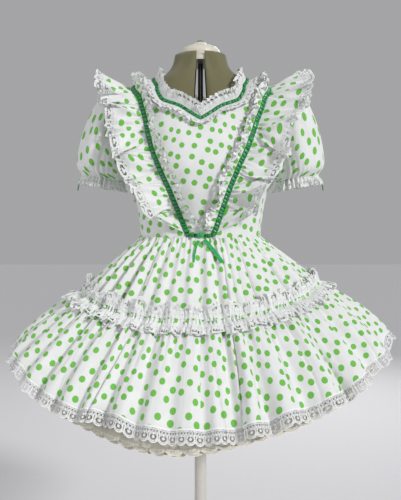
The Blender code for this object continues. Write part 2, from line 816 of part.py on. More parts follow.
def skirt_point(azimuth, crease, tier, out=0.0):
    """A point on the folded skirt. Creases grow from the waist to the hem and the lower tier is puffed."""
    if tier <= 1:
        fold = WAIST_FOLD + (TIER_FOLD - WAIST_FOLD) * tier
    else:
        fold = TIER_FOLD + (HEM_FOLD - TIER_FOLD) * min(1.0, tier - 1)
    puff = LOWER_TIER_PUFF * math.sin(math.pi * (tier - 1)) if 1 < tier < 2 else 0.0
    crest = 0.35 * fold * (1 - crease)
    return skirt_base(azimuth, tier) + skirt_out(azimuth, tier) * (crest + puff - fold * crease + out)


def skirt_rows(columns, tiers, out=0.0):
    return [[skirt_point(azimuth, crease, tier, out) for azimuth, crease in columns] for tier in tiers]


def make_skirt(maker):
    columns = fold_columns()
    gap = SEAM / 0.20
    upper = skirt_rows(columns, (1.0, 0.0))
    maker.sheet("skirt_upper", upper, "dotted_cotton", CLOTH, wrap=True)
    lower = skirt_rows(columns, (2.0, 1.5, 1.0 + gap))
    maker.sheet("skirt_lower", lower, "dotted_cotton", CLOTH, wrap=True)
    make_hem_lace(maker, columns)
    make_tier_frill(maker, columns)


def lace_band(tops, edges):
    """Points and faces of a band with one cut gap and one scallop in each repeat.

    Its repeats lie between each of the points along its top and edge and the next.
    """
    points, faces = [], []
    count = len(tops) - 1
    for i in range(count + 1):
        valley = edges[i] + (tops[i] - edges[i]) * SCALLOP / np.linalg.norm(tops[i] - edges[i])
        points += [tops[i], valley]
    for i in range(count):
        start = len(points)
        for along, down in (
            (HEM_GAP.left, HEM_GAP.top),
            (HEM_GAP.right, HEM_GAP.top),
            (HEM_GAP.left, HEM_GAP.bottom),
            (HEM_GAP.right, HEM_GAP.bottom),
            (0.5, 1.0),
        ):
            top = tops[i] + (tops[i + 1] - tops[i]) * along
            edge = edges[i] + (edges[i + 1] - edges[i]) * along
            points.append(top + (edge - top) * down)
        top_left, top_right, low_left, low_right, peak = range(start, start + 5)
        top, valley, next_top, next_valley = 2 * i, 2 * i + 1, 2 * i + 2, 2 * i + 3
        faces += [(top_left, top_right, next_top, top)]
        faces += [(valley, peak, low_left), (peak, low_right, low_left)]
        faces += [(peak, next_valley, low_right)]
        if i:
            last = start - 5
            faces += [(last + 3, low_left, top_left, last + 1), (last + 3, valley, low_left)]
            faces += [(last + 1, top_left, top)]
        else:
            faces += [(top, valley, low_left, top_left)]
        if i == count - 1:
            faces += [(top_right, low_right, next_valley, next_top)]
    return points, faces


def make_hem_lace(maker, columns):
    """The lace below the hem in two halves, which meet at the front and back seams."""
    tops = skirt_rows(columns, (2.0,))[0]
    edges = skirt_rows(columns, (3.0,))[0]
    spots_top, spots_edge = [], []
    count = len(columns)
    for i in range(count):
        for k in range(HEM_REPEATS):
            share = k / HEM_REPEATS
            top = tops[i] + (tops[(i + 1) % count] - tops[i]) * share
            edge = edges[i] + (edges[(i + 1) % count] - edges[i]) * share
            spots_top.append(top + unit(edge - top) * SEAM)
            spots_edge.append(edge)
    total = len(spots_top)
    front_crease = next(i for i, fold in enumerate(FOLDS) if abs(fold.azimuth) < 5)
    seam = (front_crease * COLUMNS_PER_FOLD + 1) * HEM_REPEATS
    for name, start in (("right", seam), ("left", seam + total // 2)):
        run = [(start + i) % total for i in range(total // 2 + 1)]
        half_tops = [spots_top[i] for i in run]
        half_edges = [spots_edge[i] for i in run]
        for line in (half_tops, half_edges):
            line[0] = line[0] + unit(line[1] - line[0]) * SEAM
            line[-1] = line[-1] + unit(line[-2] - line[-1]) * SEAM
        maker.wall(f"hem_lace_{name}", *lace_band(half_tops, half_edges), "white_lace", NET)


def make_tier_frill(maker, columns):
    """The frill over the tier seam, stitched down its middle, and the lace on both of its edges."""
    rows = []
    edge = 1.0 + TIER_LACE_WIDTH / TIER_FRILL_HALF
    along = (-edge, -1.0, 0.0, 1.0, edge)
    for share in along:
        row = []
        for i, (azimuth, crease) in enumerate(columns):
            out = skirt_out(azimuth, 1.0)
            seam = skirt_point(azimuth, crease, 1.0, CLOTH + SEAM)
            fall = skirt_base(azimuth, 1.05) - skirt_base(azimuth, 0.95)
            fall = unit(fall - out * np.dot(fall, out))
            wave = TIER_FRILL_WAVE * (1, -1, 0)[i % 3] * abs(share)
            stand = TIER_FRILL_STAND * abs(share) ** 0.8
            row.append(seam - fall * TIER_FRILL_HALF * share + out * (stand + wave))
        rows.append(np.array(row))
    maker.sheet("tier_frill", rows[1:4], "dotted_cotton", CLOTH, wrap=True)
    laces = (("tier_lace_lower", rows[1], rows[0]), ("tier_lace_upper", rows[3], rows[4]))
    for name, inner, outer in laces:
        step = (outer - inner) / np.linalg.norm(outer - inner, axis=1)[:, None] * SEAM
        band = [outer, inner + step] if name.endswith("lower") else [inner + step, outer]
        maker.sheet(name, band, "white_lace", NET, wrap=True)


def underskirt_dip(azimuth):
    """How much longer the underskirt is at this azimuth, as a share of a tier."""
    apart = abs(math.degrees(math.atan2(math.sin(azimuth), math.cos(azimuth))) - UNDERSKIRT_DIP_AZIMUTH)
    if apart > UNDERSKIRT_DIP_HALF:
        return 0.0
    return UNDERSKIRT_DIP * 0.5 * (1 + math.cos(math.pi * apart / UNDERSKIRT_DIP_HALF))


def make_underskirt(maker):
    """The net underskirt inside the skirt, longer at the front, where it shows below the hem."""
    columns = fold_columns()[::2]
    rows = []
    for tier in (2.5 + UNDERSKIRT_LACE, 2.5, 1.2, 0.02):
        row = []
        for i, (azimuth, _) in enumerate(columns):
            reach = tier if tier < 2 else tier + underskirt_dip(azimuth)
            inset = UNDERSKIRT_INSET * min(1.0, tier / 1.2) + WAIST_FOLD + NET + SEAM
            wave = 0.003 * (1, -1)[i % 2] * min(1.0, tier / 2)
            base = skirt_base(azimuth, min(3.0, reach))
            over = max(0.0, reach - 3.0)
            fall = unit(skirt_base(azimuth, 3.0) - skirt_base(azimuth, 2.6))
            row.append(base + fall * over * 0.03 - skirt_out(azimuth, min(2.9, reach)) * (inset + wave))
        rows.append(np.array(row))
    maker.sheet("underskirt", rows[1:], "ivory_net", NET, wrap=True)
    step = (rows[0] - rows[1]) / np.linalg.norm(rows[0] - rows[1], axis=1)[:, None] * SEAM
    maker.sheet("underskirt_lace", [rows[0], rows[1] + step], "ivory_net", NET, wrap=True)


# Tie at the point of the V


def tail_stations(tail):
    """Places along a tail, just in front of the upper tier's crests."""
    points, outs = [], []
    for mark in tail:
        tier = mark.drop / (HOOPS[1].drop + HOOPS[1].sag)
        azimuth = math.asin(mark.aside / column_at(HOOPS, "wide", tier))
        top, low = skirt_point(azimuth, 0.0, 0.0), skirt_point(azimuth, 0.0, 1.0)
        outs.append(skirt_out(azimuth, tier))
        points.append(top + (low - top) * tier + outs[-1] * (CLOTH + TAIL_LIFT))
    last = len(tail) - 1
    along = [unit(points[min(i + 1, last)] - points[max(i - 1, 0)]) for i in range(last + 1)]
    return [Station(*place) for place in zip(points, outs, along)]


def make_tie(maker):
    reach = STRAP_FRONT[0].aside
    for name, side in (("left", -1), ("right", 1)):
        asides = np.linspace(KNOT_ACROSS / 2 + SEAM, reach, 3)
        line = [(side * azimuth_aside(x, BAND_HEIGHT), BAND_HEIGHT) for x in asides]
        make_ribbon(maker, f"tie_band_{name}", stations(line, 1, lift=SEAM), BAND_WIDTH)
    bpy.ops.mesh.primitive_uv_sphere_add(segments=12, ring_count=6, radius=0.5)
    knot = bpy.context.object
    knot.name = "tie_knot"
    knot.scale = (KNOT_ACROSS, KNOT_DEEP, KNOT_TALL)
    bpy.ops.object.transform_apply(location=False, rotation=False, scale=True)
    front = bodice_face(0.0, BAND_HEIGHT, CLOTH + TRIM_LIFT)
    knot.location = (0.0, front[1] - KNOT_DEEP / 2, BAND_HEIGHT)
    maker.add(knot, "green_satin")
    make_ribbon(maker, "tie_tail_left", tail_stations(TAIL_LEFT), TAIL_WIDTH)
    make_ribbon(maker, "tie_tail_right", tail_stations(TAIL_RIGHT), TAIL_WIDTH)


def main():
    for obj in list(bpy.data.objects):
        bpy.data.objects.remove(obj)
    maker = Maker()
    make_form(maker)
    make_stand(maker)
    make_bodice(maker)
    make_sleeves(maker)
    make_straps(maker)
    make_neck(maker)
    make_skirt(maker)
    make_underskirt(maker)
    make_tie(maker)


main()
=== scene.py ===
import math
from functools import partial

import bpy
import numpy as np
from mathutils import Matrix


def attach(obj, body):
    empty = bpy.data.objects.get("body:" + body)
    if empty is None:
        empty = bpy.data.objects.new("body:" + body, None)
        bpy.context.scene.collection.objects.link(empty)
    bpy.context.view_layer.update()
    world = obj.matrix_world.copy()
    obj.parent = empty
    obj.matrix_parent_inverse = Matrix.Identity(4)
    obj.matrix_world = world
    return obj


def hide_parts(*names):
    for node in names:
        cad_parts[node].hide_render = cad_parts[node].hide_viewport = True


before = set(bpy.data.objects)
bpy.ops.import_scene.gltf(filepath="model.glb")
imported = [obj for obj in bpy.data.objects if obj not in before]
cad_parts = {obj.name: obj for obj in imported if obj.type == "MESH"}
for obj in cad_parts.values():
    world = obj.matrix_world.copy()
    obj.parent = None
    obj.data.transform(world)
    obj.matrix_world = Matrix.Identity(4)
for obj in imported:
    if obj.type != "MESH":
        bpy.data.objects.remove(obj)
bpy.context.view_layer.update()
print("frame loaded with", len(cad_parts), "nodes")

waistHeight = 1.03  # heights below are measured from the waist seam
fullTurn = 2 * math.pi


# Tables and small sums

def hermite(values, slopes, i, width, t):  # smooth from entry i to the next, t from 0 to 1
    rest = 1 - t
    start = values[i] * (1 + 2 * t) * rest**2 + slopes[i] * width * t * rest**2
    end = values[i + 1] * t**2 * (3 - 2 * t) - slopes[i + 1] * width * t**2 * rest
    return start + end


def tableAt(table, column, at):  # smooth between a table's rows; its first column is the key
    keys, values = np.array(next(iter(table.values())), float), np.array(table[column], float)
    steps = np.diff(values) / np.diff(keys)
    before, after = steps[:-1], steps[1:]
    same = before * after > 0
    middle = np.where(same, 2 * before * after / np.where(same, before + after, 1.0), 0.0)
    slopes = np.concatenate((steps[:1], middle, steps[-1:]))
    at = np.clip(at, keys[0], keys[-1])
    i = np.clip(np.searchsorted(keys, at, side="right") - 1, 0, len(keys) - 2)
    width = keys[i + 1] - keys[i]
    return hermite(values, slopes, i, width, (at - keys[i]) / width)


def signedPower(values, power):
    return np.sign(values) * np.abs(values) ** power


def bell(values, half):  # 1 in the middle, falling off on both sides
    return np.exp(-((values / half) ** 2))


def unit(vectors):
    return vectors / np.maximum(np.linalg.norm(vectors, axis=-1, keepdims=True), 1e-9)


def smoothRows(rows, at):  # rows of points joined by a smooth curve; at runs from 0 to the last row
    rows = np.asarray(rows, float)
    last = len(rows) - 1
    i = np.clip(np.floor(at).astype(int), 0, last - 1)
    t = (at - i).reshape((-1,) + (1,) * (rows.ndim - 1))
    before, after = rows[np.maximum(i - 1, 0)], rows[np.minimum(i + 2, last)]
    start, end = rows[i], rows[i + 1]
    before = np.where((i == 0).reshape(t.shape), 2 * start - end, before)
    after = np.where((i == last - 1).reshape(t.shape), 2 * end - start, after)
    return 0.5 * (
        2 * start + (end - before) * t
        + (2 * before - 5 * start + 4 * end - after) * t**2
        + (3 * start - before - 3 * end + after) * t**3
    )


def ripple(turn, low, high, seed):  # uneven waves, low to high of them in one turn, about -1 to 1
    chance = np.random.RandomState(seed)
    counts = np.unique(np.linspace(low, high, min(high - low + 1, 14)).astype(int))
    total = np.zeros_like(np.asarray(turn, float))
    for count in counts:
        total += chance.uniform(0.5, 1.0) * np.cos(fullTurn * (count * turn + chance.rand()))
    return total / (0.75 * math.sqrt(len(counts) / 2) * 1.6)


def pleats(turn, count, seed, sharp=0.5):  # broad crests with narrow, uneven valleys between them
    phase = count * turn + 0.9 * ripple(turn, 3, 11, seed)
    crest = np.abs(np.sin(math.pi * phase)) ** sharp
    deep = np.clip(0.42 + 0.85 * ripple(np.round(phase) / count, 5, 23, seed + 1), 0.02, 1.6)
    return 0.2 - deep * (1 - crest) ** 1.3


def foldOver(t, waves, seed):  # a frill's overlapping folds: how far out and how far aside
    phase = fullTurn * (waves * t + 0.40 * ripple(t, 3, 9, seed))
    size = 0.78 + 0.32 * ripple(t, 4, 13, seed + 1)
    return size * np.cos(phase), -size * np.sin(2 * phase) + 0.4 * ripple(t, 3, 8, seed + 2)


def crumple(turn, far, low, high, seed):  # small dents that change both along and across a frill
    bend = 4.5 * far + 1.5 * ripple(turn, 9, 25, seed + 2)
    along, across = ripple(turn, low, high, seed), ripple(turn, low, high, seed + 1)
    return along * np.cos(bend) + across * np.sin(bend)


def arcAlong(row, wrap=False):  # lengths from the start of a row of points
    if wrap:
        row = np.concatenate((row, row[:1]))
    return np.concatenate(([0.0], np.cumsum(np.linalg.norm(np.diff(row, axis=0), axis=1))))


def arcRows(points, wrap=False):  # the same along each row of a sheet
    return np.stack([arcAlong(row, wrap) for row in points])


def arcColumns(points):  # and down each column, from the first row
    return arcRows(points.transpose(1, 0, 2)).T


def squareGrid(table):  # shares along and down a sheet of so many columns and rows
    return np.meshgrid(np.linspace(0, 1, table["columns"]), np.linspace(0, 1, table["rows"]))


def ringGrid(columns, levels):  # azimuths once round, at each level
    return np.meshgrid(np.arange(columns) / columns * fullTurn, levels)


# Materials

def feed(material, node, inputs):  # each input gets a link or a fixed value
    for key, value in inputs.items():
        if isinstance(value, bpy.types.NodeSocket):
            material.node_tree.links.new(value, node.inputs[key])
        else:
            node.inputs[key].default_value = value
    return node


def addNode(material, kind, inputs=(), **settings):
    node = material.node_tree.nodes.new(kind)
    for key, value in settings.items():
        setattr(node, key, value)
    return feed(material, node, dict(inputs))


def newMaterial(name, colour, roughness, **sockets):
    material = bpy.data.materials.new(name)
    material.use_nodes = True
    shader = material.node_tree.nodes["Principled BSDF"]
    feed(material, shader, {"Base Color": (*colour, 1), "Roughness": roughness, **sockets})
    return material


def finishMaterial(material, colour, roughness, heights):
    # heights: (socket, strength, distance in metres), one on the other
    sockets = {"Base Color": colour, "Roughness": roughness}
    for height, strength, distance in heights:
        inputs = {"Height": height, "Strength": strength, "Distance": distance}
        if "Normal" in sockets:
            inputs["Normal"] = sockets["Normal"]
        sockets["Normal"] = addNode(material, "ShaderNodeBump", inputs).outputs["Normal"]
    feed(material, material.node_tree.nodes["Principled BSDF"], sockets)
    return material


def mathNode(material, operation, *values):
    inputs = enumerate(values)
    return addNode(material, "ShaderNodeMath", inputs, operation=operation).outputs[0]


def mixColour(material, share, first, second):
    inputs = {0: share, 6: first, 7: second}
    return addNode(material, "ShaderNodeMix", inputs, data_type="RGBA").outputs[2]


def ramp(material, value, low, high, toLow=0.0, toHigh=1.0):
    names = ("Value", "From Min", "From Max", "To Min", "To Max")
    inputs = zip(names, (value, low, high, toLow, toHigh))
    return addNode(material, "ShaderNodeMapRange", inputs).outputs["Result"]


def clothSpot(material):  # places on the flat cloth, in metres
    return addNode(material, "ShaderNodeUVMap", uv_map="clothMetres").outputs["UV"]


def noise(material, spot, scale, detail=3.0):
    inputs = {"Vector": spot, "Scale": scale, "Detail": detail, "Roughness": 0.55}
    return addNode(material, "ShaderNodeTexNoise", inputs).outputs["Fac"]


def threads(material, spot, perMetre, direction):
    inputs = {"Vector": spot, "Scale": perMetre / 3.14, "Distortion": 0.6, "Detail": 1.0}
    settings = {"wave_type": "BANDS", "bands_direction": direction}
    return addNode(material, "ShaderNodeTexWave", inputs, **settings).outputs["Fac"]


def weave(material, spot, perMetre, join="ADD"):  # threads across and down
    both = [threads(material, spot, count, way) for count, way in zip(perMetre, "XY")]
    return mathNode(material, join, *both)


dottedCotton = {
    "dotAcross": 0.0134,
    "dotPitch": 0.0272,
    "jitter": 0.40,
    "white": (0.80, 0.81, 0.80, 1),
    "whiteShade": (0.74, 0.75, 0.74, 1),
    "green": (0.195, 0.560, 0.085, 1),
    "greenDeep": (0.120, 0.430, 0.050, 1),
    "threadsPerMetre": (900, 900),
}


def makeDottedCotton(name, turn, shift):
    d = dottedCotton
    m = newMaterial(name, d["white"][:3], 0.78, **{"Sheen Weight": 0.12, "Sheen Roughness": 0.5})
    spot = clothSpot(m)
    inputs = {"Vector": spot, "Location": (*shift, 0), "Rotation": (0, 0, math.radians(turn))}
    turned = addNode(m, "ShaderNodeMapping", inputs).outputs["Vector"]
    inputs = {"Vector": turned, "Scale": 1 / d["dotPitch"], "Randomness": d["jitter"]}
    cells = addNode(m, "ShaderNodeTexVoronoi", inputs, voronoi_dimensions="2D", feature="F1")
    edge = d["dotAcross"] / d["dotPitch"] / 2
    inDot = ramp(m, cells.outputs["Distance"], edge - 0.012, edge + 0.012, 1.0, 0.0)
    cloud = noise(m, spot, 26.0)
    ground = mixColour(m, ramp(m, cloud, 0.35, 0.72), d["white"], d["whiteShade"])
    speckle = ramp(m, noise(m, spot, 900.0, 1.0), 0.3, 0.7)
    dot = mixColour(m, speckle, d["green"], d["greenDeep"])
    crinkle, grain = noise(m, spot, 130.0, 4.0), weave(m, spot, d["threadsPerMetre"])
    return finishMaterial(
        m, mixColour(m, inDot, ground, dot), ramp(m, cloud, 0.3, 0.7, 0.72, 0.86),
        ((crinkle, 0.22, 0.0012), (grain, 0.12, 0.0003)),
    )


laceColours = {
    "thread": (0.86, 0.865, 0.86, 1),
    "netGap": (0.62, 0.63, 0.63, 1),
    "openGap": (0.36, 0.365, 0.37, 1),
    "brightGap": (0.74, 0.75, 0.75, 1),
    "ivoryThread": (0.86, 0.83, 0.73, 1),
    "ivoryGap": (0.50, 0.46, 0.36, 1),
    "netPerMetre": 560,
    "edgeCord": 0.0016,
    "petals": 6,
}


def cordAt(material, distance, half):  # 1 on a cord, 0 off it, from metres to its middle line
    away = mathNode(material, "ABSOLUTE", distance)
    return ramp(material, away, half * 0.7, half * 1.3, 1.0, 0.0)


def makeLace(name, lace, tone=("thread", "netGap")):
    # net ground, a flower in each scallop and a corded edge
    thread, netGap = (laceColours[key] for key in tone)
    m = newMaterial(name, thread[:3], 0.8, **{"Sheen Weight": 0.1})
    calc, spot = partial(mathNode, m), clothSpot(m)
    parts = addNode(m, "ShaderNodeSeparateXYZ", {"Vector": spot}).outputs
    half, width, edgeCord = lace["pitch"] / 2, lace["width"], laceColours["edgeCord"]
    aside = calc("WRAP", calc("SUBTRACT", parts["X"], half), half, -half)
    below = calc("SUBTRACT", parts["Y"], width - lace["scallop"] - 0.62 * half)
    squares = calc("ADD", calc("MULTIPLY", aside, aside), calc("MULTIPLY", below, below))
    radius, apart = calc("SQRT", squares), calc("ABSOLUTE", aside)
    turn = calc("MULTIPLY", calc("ARCTAN2", aside, below), laceColours["petals"])
    petal = calc("MULTIPLY", calc("COSINE", turn), 0.12 * half)
    lobe = calc("MULTIPLY", calc("POWER", calc("DIVIDE", apart, half), 2.2), lace["scallop"])
    toEdge = calc("SUBTRACT", calc("SUBTRACT", width, parts["Y"]), lobe)
    flower = calc("SUBTRACT", calc("SUBTRACT", radius, petal), 0.48 * half)
    cord = cordAt(m, flower, 0.11 * half)
    for other in (
        ramp(m, radius, 0.12 * half, 0.20 * half, 1.0, 0.0),  # the flower's heart
        ramp(m, toEdge, edgeCord * 0.8, edgeCord * 1.3, 1.0, 0.0),  # the edge
        cordAt(m, calc("SUBTRACT", toEdge, 0.2 * half + edgeCord), 0.0005),  # an arch inside it
        ramp(m, parts["Y"], 0.0012, 0.0020, 1.0, 0.0),  # the heading
        cordAt(m, calc("SUBTRACT", apart, 0.80 * half), 0.08 * half),  # a sprig on each side
    ):
        cord = calc("MAXIMUM", cord, other)
    inputs = {"Vector": spot, "Scale": laceColours["netPerMetre"], "Randomness": 0.25}
    settings = {"voronoi_dimensions": "2D", "feature": "DISTANCE_TO_EDGE"}
    net = addNode(m, "ShaderNodeTexVoronoi", inputs, **settings).outputs["Distance"]
    gaps = calc("MULTIPLY", ramp(m, net, 0.08, 0.22), ramp(m, cord, 0.0, 1.0, 1.0, 0.0))
    return finishMaterial(
        m, mixColour(m, gaps, thread, netGap), ramp(m, cord, 0.0, 1.0, 0.9, 0.7),
        ((cord, 0.6, 0.0008), (ramp(m, net, 0.05, 0.25, 1.0, 0.0), 0.3, 0.0004)),
    )


satinColours = {
    "body": (0.002, 0.215, 0.050, 1),
    "light": (0.012, 0.330, 0.085, 1),
    "flat": (0.040, 0.480, 0.130, 1),
    # deep: colour of random dark patches on the satin, and painted shade in the shirred ribbon's
    # valleys
    "deep": (0.000, 0.040, 0.011, 1),
    "shirrFlat": 0.0150,  # flat ribbon taken up by one shirr
}


def makeSatin(name, shirred):
    s = satinColours
    body, light = (s["body"], s["light"]) if shirred else (s["light"], s["flat"])
    sockets = {"Sheen Weight": 0.05, "Sheen Roughness": 0.35, "Specular IOR Level": 0.6}
    m = newMaterial(name, body[:3], 0.3, **sockets)
    calc, spot = partial(mathNode, m), clothSpot(m)
    patches = ramp(m, noise(m, spot, 160.0, 2.0), 0.35, 0.68)
    darkPatchesAndShirrShade = ramp(m, noise(m, spot, 330.0, 2.0), 0.55, 0.78, 0.0, 0.8)
    # painted shade: a shirred ribbon darkens toward each gap between its shirrs, where the valleys
    # fall in shade
    if shirred:
        half = s["shirrFlat"] / 2
        along = addNode(m, "ShaderNodeSeparateXYZ", {"Vector": spot}).outputs["X"]
        toGap = calc("ABSOLUTE", calc("WRAP", along, half, -half))
        darkPatchesAndShirrShade = calc("MAXIMUM", darkPatchesAndShirrShade, ramp(m, toGap, 0.14 * half, 0.40 * half, 1.0, 0.0))
    fine, crinkle = threads(m, spot, 1500, "X"), noise(m, spot, 420.0, 3.0)
    # random dark patches plus painted shade in the shirr valleys, both mixed toward the deep colour
    return finishMaterial(
        m, mixColour(m, darkPatchesAndShirrShade, mixColour(m, patches, body, light), s["deep"]),
        ramp(m, patches, 0.0, 1.0, 0.36, 0.24), ((crinkle, 0.35, 0.0006), (fine, 0.10, 0.0002)),
    )


wovens = {
    "ivoryNet": {
        "colour": (0.74, 0.70, 0.60), "sheen": 0.15, "rough": (0.75, 0.70, 0.85),
        "threads": (1100, 1100), "join": "ADD", "shade": (0.6, 1.6, 0.0, 0.35), "cloud": 18.0,
        "tones": ((0.76, 0.73, 0.64, 1), (0.62, 0.58, 0.48, 1), (0.50, 0.46, 0.37, 1)),
        "bump": (0.25, 0.0004), "crinkle": (90.0, 0.25, 0.0012),
    },
    "oliveJersey": {
        "colour": (0.20, 0.185, 0.09), "sheen": 0.25, "rough": (0.9, 0.85, 0.95),
        "threads": (620, 800), "join": "MULTIPLY", "shade": (0.1, 0.9, 0.35, 0.0), "cloud": 14.0,
        "tones": ((0.215, 0.200, 0.098, 1), (0.165, 0.152, 0.072, 1), (0.09, 0.085, 0.045, 1)),
        "bump": (0.35, 0.0005), "crinkle": (60.0, 0.15, 0.0015),
    },
}


def makeWoven(name):
    w = wovens[name]
    m = newMaterial(name, w["colour"], w["rough"][0], **{"Sheen Weight": w["sheen"]})
    spot = clothSpot(m)
    grain = weave(m, spot, w["threads"], w["join"])
    cloud = ramp(m, noise(m, spot, w["cloud"]), 0.3, 0.7)
    light, dark, gap = w["tones"]
    scale, *crinkle = w["crinkle"]
    return finishMaterial(
        m, mixColour(m, ramp(m, grain, *w["shade"]), mixColour(m, cloud, light, dark), gap),
        ramp(m, cloud, 0.0, 1.0, *w["rough"][1:]),
        ((grain, *w["bump"]), (noise(m, spot, scale, 3.0), *crinkle)),
    )


def makeHard(name, colour, second, roughness, grain, depth, **sockets):
    m = newMaterial(name, colour, roughness, **sockets)
    spot = addNode(m, "ShaderNodeTexCoord").outputs["Object"]
    cloud = ramp(m, noise(m, spot, 22.0), 0.35, 0.7)
    fine = noise(m, spot, grain, 4.0)
    return finishMaterial(
        m, mixColour(m, cloud, (*colour, 1), (*second, 1)),
        ramp(m, fine, 0.3, 0.7, roughness * 0.85, min(1.0, roughness * 1.25)),
        ((fine, 0.2, depth),),
    )


cottons = {
    part: makeDottedCotton(f"dottedCotton{part.title()}", turn, shift)
    for part, turn, shift in (
        ("front", 17, (0.0, 0.004)), ("back", 17, (0.21, 0.11)), ("sleeve", 25, (0.05, 0.31)),
        ("wing", 63, (0.37, 0.02)), ("frill", 0, (0.13, 0.27)), ("skirt", 27, (0.41, 0.07)),
    )
}
shirredSatin, greenSatin = makeSatin("shirredSatin", True), makeSatin("greenSatin", False)
ivoryNet, oliveJersey = makeWoven("ivoryNet"), makeWoven("oliveJersey")
hard = {  # by slot
    "cream_plastic": makeHard("creamPlastic", (0.72, 0.69, 0.58), (0.66, 0.62, 0.50), 0.35,
                              260.0, 0.0003, **{"Coat Weight": 0.15}),
    "grey_plastic": makeHard("greyPlastic", (0.22, 0.21, 0.20), (0.16, 0.155, 0.15), 0.45,
                             300.0, 0.0004),
    "bright_steel": makeHard("brightSteel", (0.36, 0.35, 0.34), (0.27, 0.26, 0.25), 0.34,
                             500.0, 0.0001, **{"Metallic": 1.0}),
    "painted_iron": makeHard("paintedIron", (0.62, 0.60, 0.56), (0.55, 0.53, 0.49), 0.42,
                             180.0, 0.0004),
}
print("materials made")


# Turning points into pieces

def addObject(name, data):
    thing = bpy.data.objects.new(name, data)
    bpy.context.scene.collection.objects.link(thing)
    return thing


def makeMesh(name, points, faces, places, material):
    used, renumbered = np.unique(faces, return_inverse=True)
    faces = renumbered.reshape(faces.shape)
    points = np.asarray(points, float)[used] + (0, 0, waistHeight)
    mesh = bpy.data.meshes.new(name)
    mesh.vertices.add(len(points))
    mesh.vertices.foreach_set("co", points.astype(np.float32).ravel())
    mesh.loops.add(faces.size)
    mesh.loops.foreach_set("vertex_index", faces.astype(np.int32).ravel())
    mesh.polygons.add(len(faces))
    starts = np.arange(0, faces.size, faces.shape[1], dtype=np.int32)
    mesh.polygons.foreach_set("loop_start", starts)
    mesh.update(calc_edges=True)
    cloth = mesh.uv_layers.new(name="clothMetres")
    cloth.data.foreach_set("uv", np.asarray(places, np.float32).ravel())
    mesh.validate()
    mesh.shade_smooth()
    mesh.materials.append(material)
    return addObject(name, mesh)


def gridFaces(high, wide, wrap):  # faces of rows by columns, and each corner's row and column
    columns = wide if wrap else wide - 1
    row, column = np.meshgrid(np.arange(high - 1), np.arange(columns), indexing="ij")
    row, column = row.ravel(), column.ravel()
    corners = [(row, column), (row, column + 1), (row + 1, column + 1), (row + 1, column)]
    faces = np.stack([r * wide + c % wide for r, c in corners], 1)
    return faces, np.stack([r for r, _ in corners], 1), np.stack([c for _, c in corners], 1)


def sheetPiece(name, points, across, down, material, wrap=False):
    # points is rows by columns; across and down are the flat cloth's places in metres
    high, wide = points.shape[:2]
    faces, row, column = gridFaces(high, wide, wrap)
    u = across[column] if across.ndim == 1 else across[row, column]
    v = down[row] if down.ndim == 1 else down[row, column]
    return makeMesh(name, points.reshape(-1, 3), faces, np.stack((u, v), -1), material)


def holeEdge(x, y, lace):  # metres from the nearest hole of one repeat, less than 0 inside it
    across, down = (x % 1) * lace["pitch"], y * lace["width"]
    nearest = np.full(np.broadcast(x, y).shape, 1.0)
    for centreX, centreY, radiusX, radiusY, innerX, innerY, bridge in lace.get("rings", ()):
        dx, dy = across - centreX, down - centreY
        outer = (np.sqrt((dx / radiusX) ** 2 + (dy / radiusY) ** 2) - 1) * min(radiusX, radiusY)
        lift = dy + 0.12 * radiusY
        inner = (1 - np.sqrt((dx / innerX) ** 2 + (lift / innerY) ** 2)) * min(innerX, innerY)
        stem = np.where(dy < 0, bridge - np.abs(dx), -1.0)
        nearest = np.minimum(nearest, np.maximum(np.maximum(outer, inner), stem))
    for centreX, centreY, radius in lace.get("eyelets", ()):
        dx = across - centreX
        dx = dx - lace["pitch"] * np.round(dx / lace["pitch"])
        nearest = np.minimum(nearest, np.hypot(dx, down - centreY) - radius)
    return nearest


def lacePiece(name, surface, lace, material, wrap=False):
    # surface(share along, share from the sewn edge to the free edge) gives points
    repeats, perRepeat, rows = lace["repeats"], lace["columns"], lace["rows"]
    wide = repeats * perRepeat + (0 if wrap else 1)
    x, y = np.meshgrid(np.arange(wide) / perRepeat, np.linspace(0, 1, rows + 1))
    step = 0.02
    for _ in range(2):  # points near the edge of a hole are moved onto it
        gap = holeEdge(x, y, lace)
        alongX = (holeEdge(x + step, y, lace) - holeEdge(x - step, y, lace)) / (2 * step)
        downY = (holeEdge(x, y + step, lace) - holeEdge(x, y - step, lace)) / (2 * step)
        slope = (alongX / lace["pitch"]) ** 2 + (downY / lace["width"]) ** 2
        cell = min(lace["pitch"] / perRepeat, lace["width"] / rows)
        inside = (y > 0.01) & (y < 0.99)
        near = (np.abs(gap) < 0.55 * cell) & inside & (slope > 0.2)
        move = np.where(near, gap / np.maximum(slope, 0.2), 0)
        x = x - move * alongX / lace["pitch"] ** 2
        y = np.clip(y - move * downY / lace["width"] ** 2, 0, 1)
    faces, _, column = gridFaces(rows + 1, wide, wrap)
    flatX, flatY = x.ravel(), y.ravel()
    cornerX = flatX[faces]
    if wrap:
        cornerX = np.where(column == wide, cornerX + repeats, cornerX)
    middleX, middleY = cornerX.mean(1), flatY[faces].mean(1)
    kept = holeEdge(middleX, middleY, lace) > 0
    scallop = lace["scallop"] / lace["width"]
    lobe = 1 - scallop * np.abs(2 * (flatX % 1) - 1) ** 2.2
    lobe += lace.get("picot", 0.0) / lace["width"] * np.cos(fullTurn * 7 * flatX)
    share = flatY * lobe
    points = surface(flatX / repeats, share)
    u = cornerX * lace["pitch"]
    v = share[faces] * lace["width"]
    return makeMesh(name, points, faces[kept], np.stack((u, v), -1)[kept], material)


def place(piece, nodes):
    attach(piece, "root")
    if nodes:
        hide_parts(*nodes)
    return piece


# Dress form

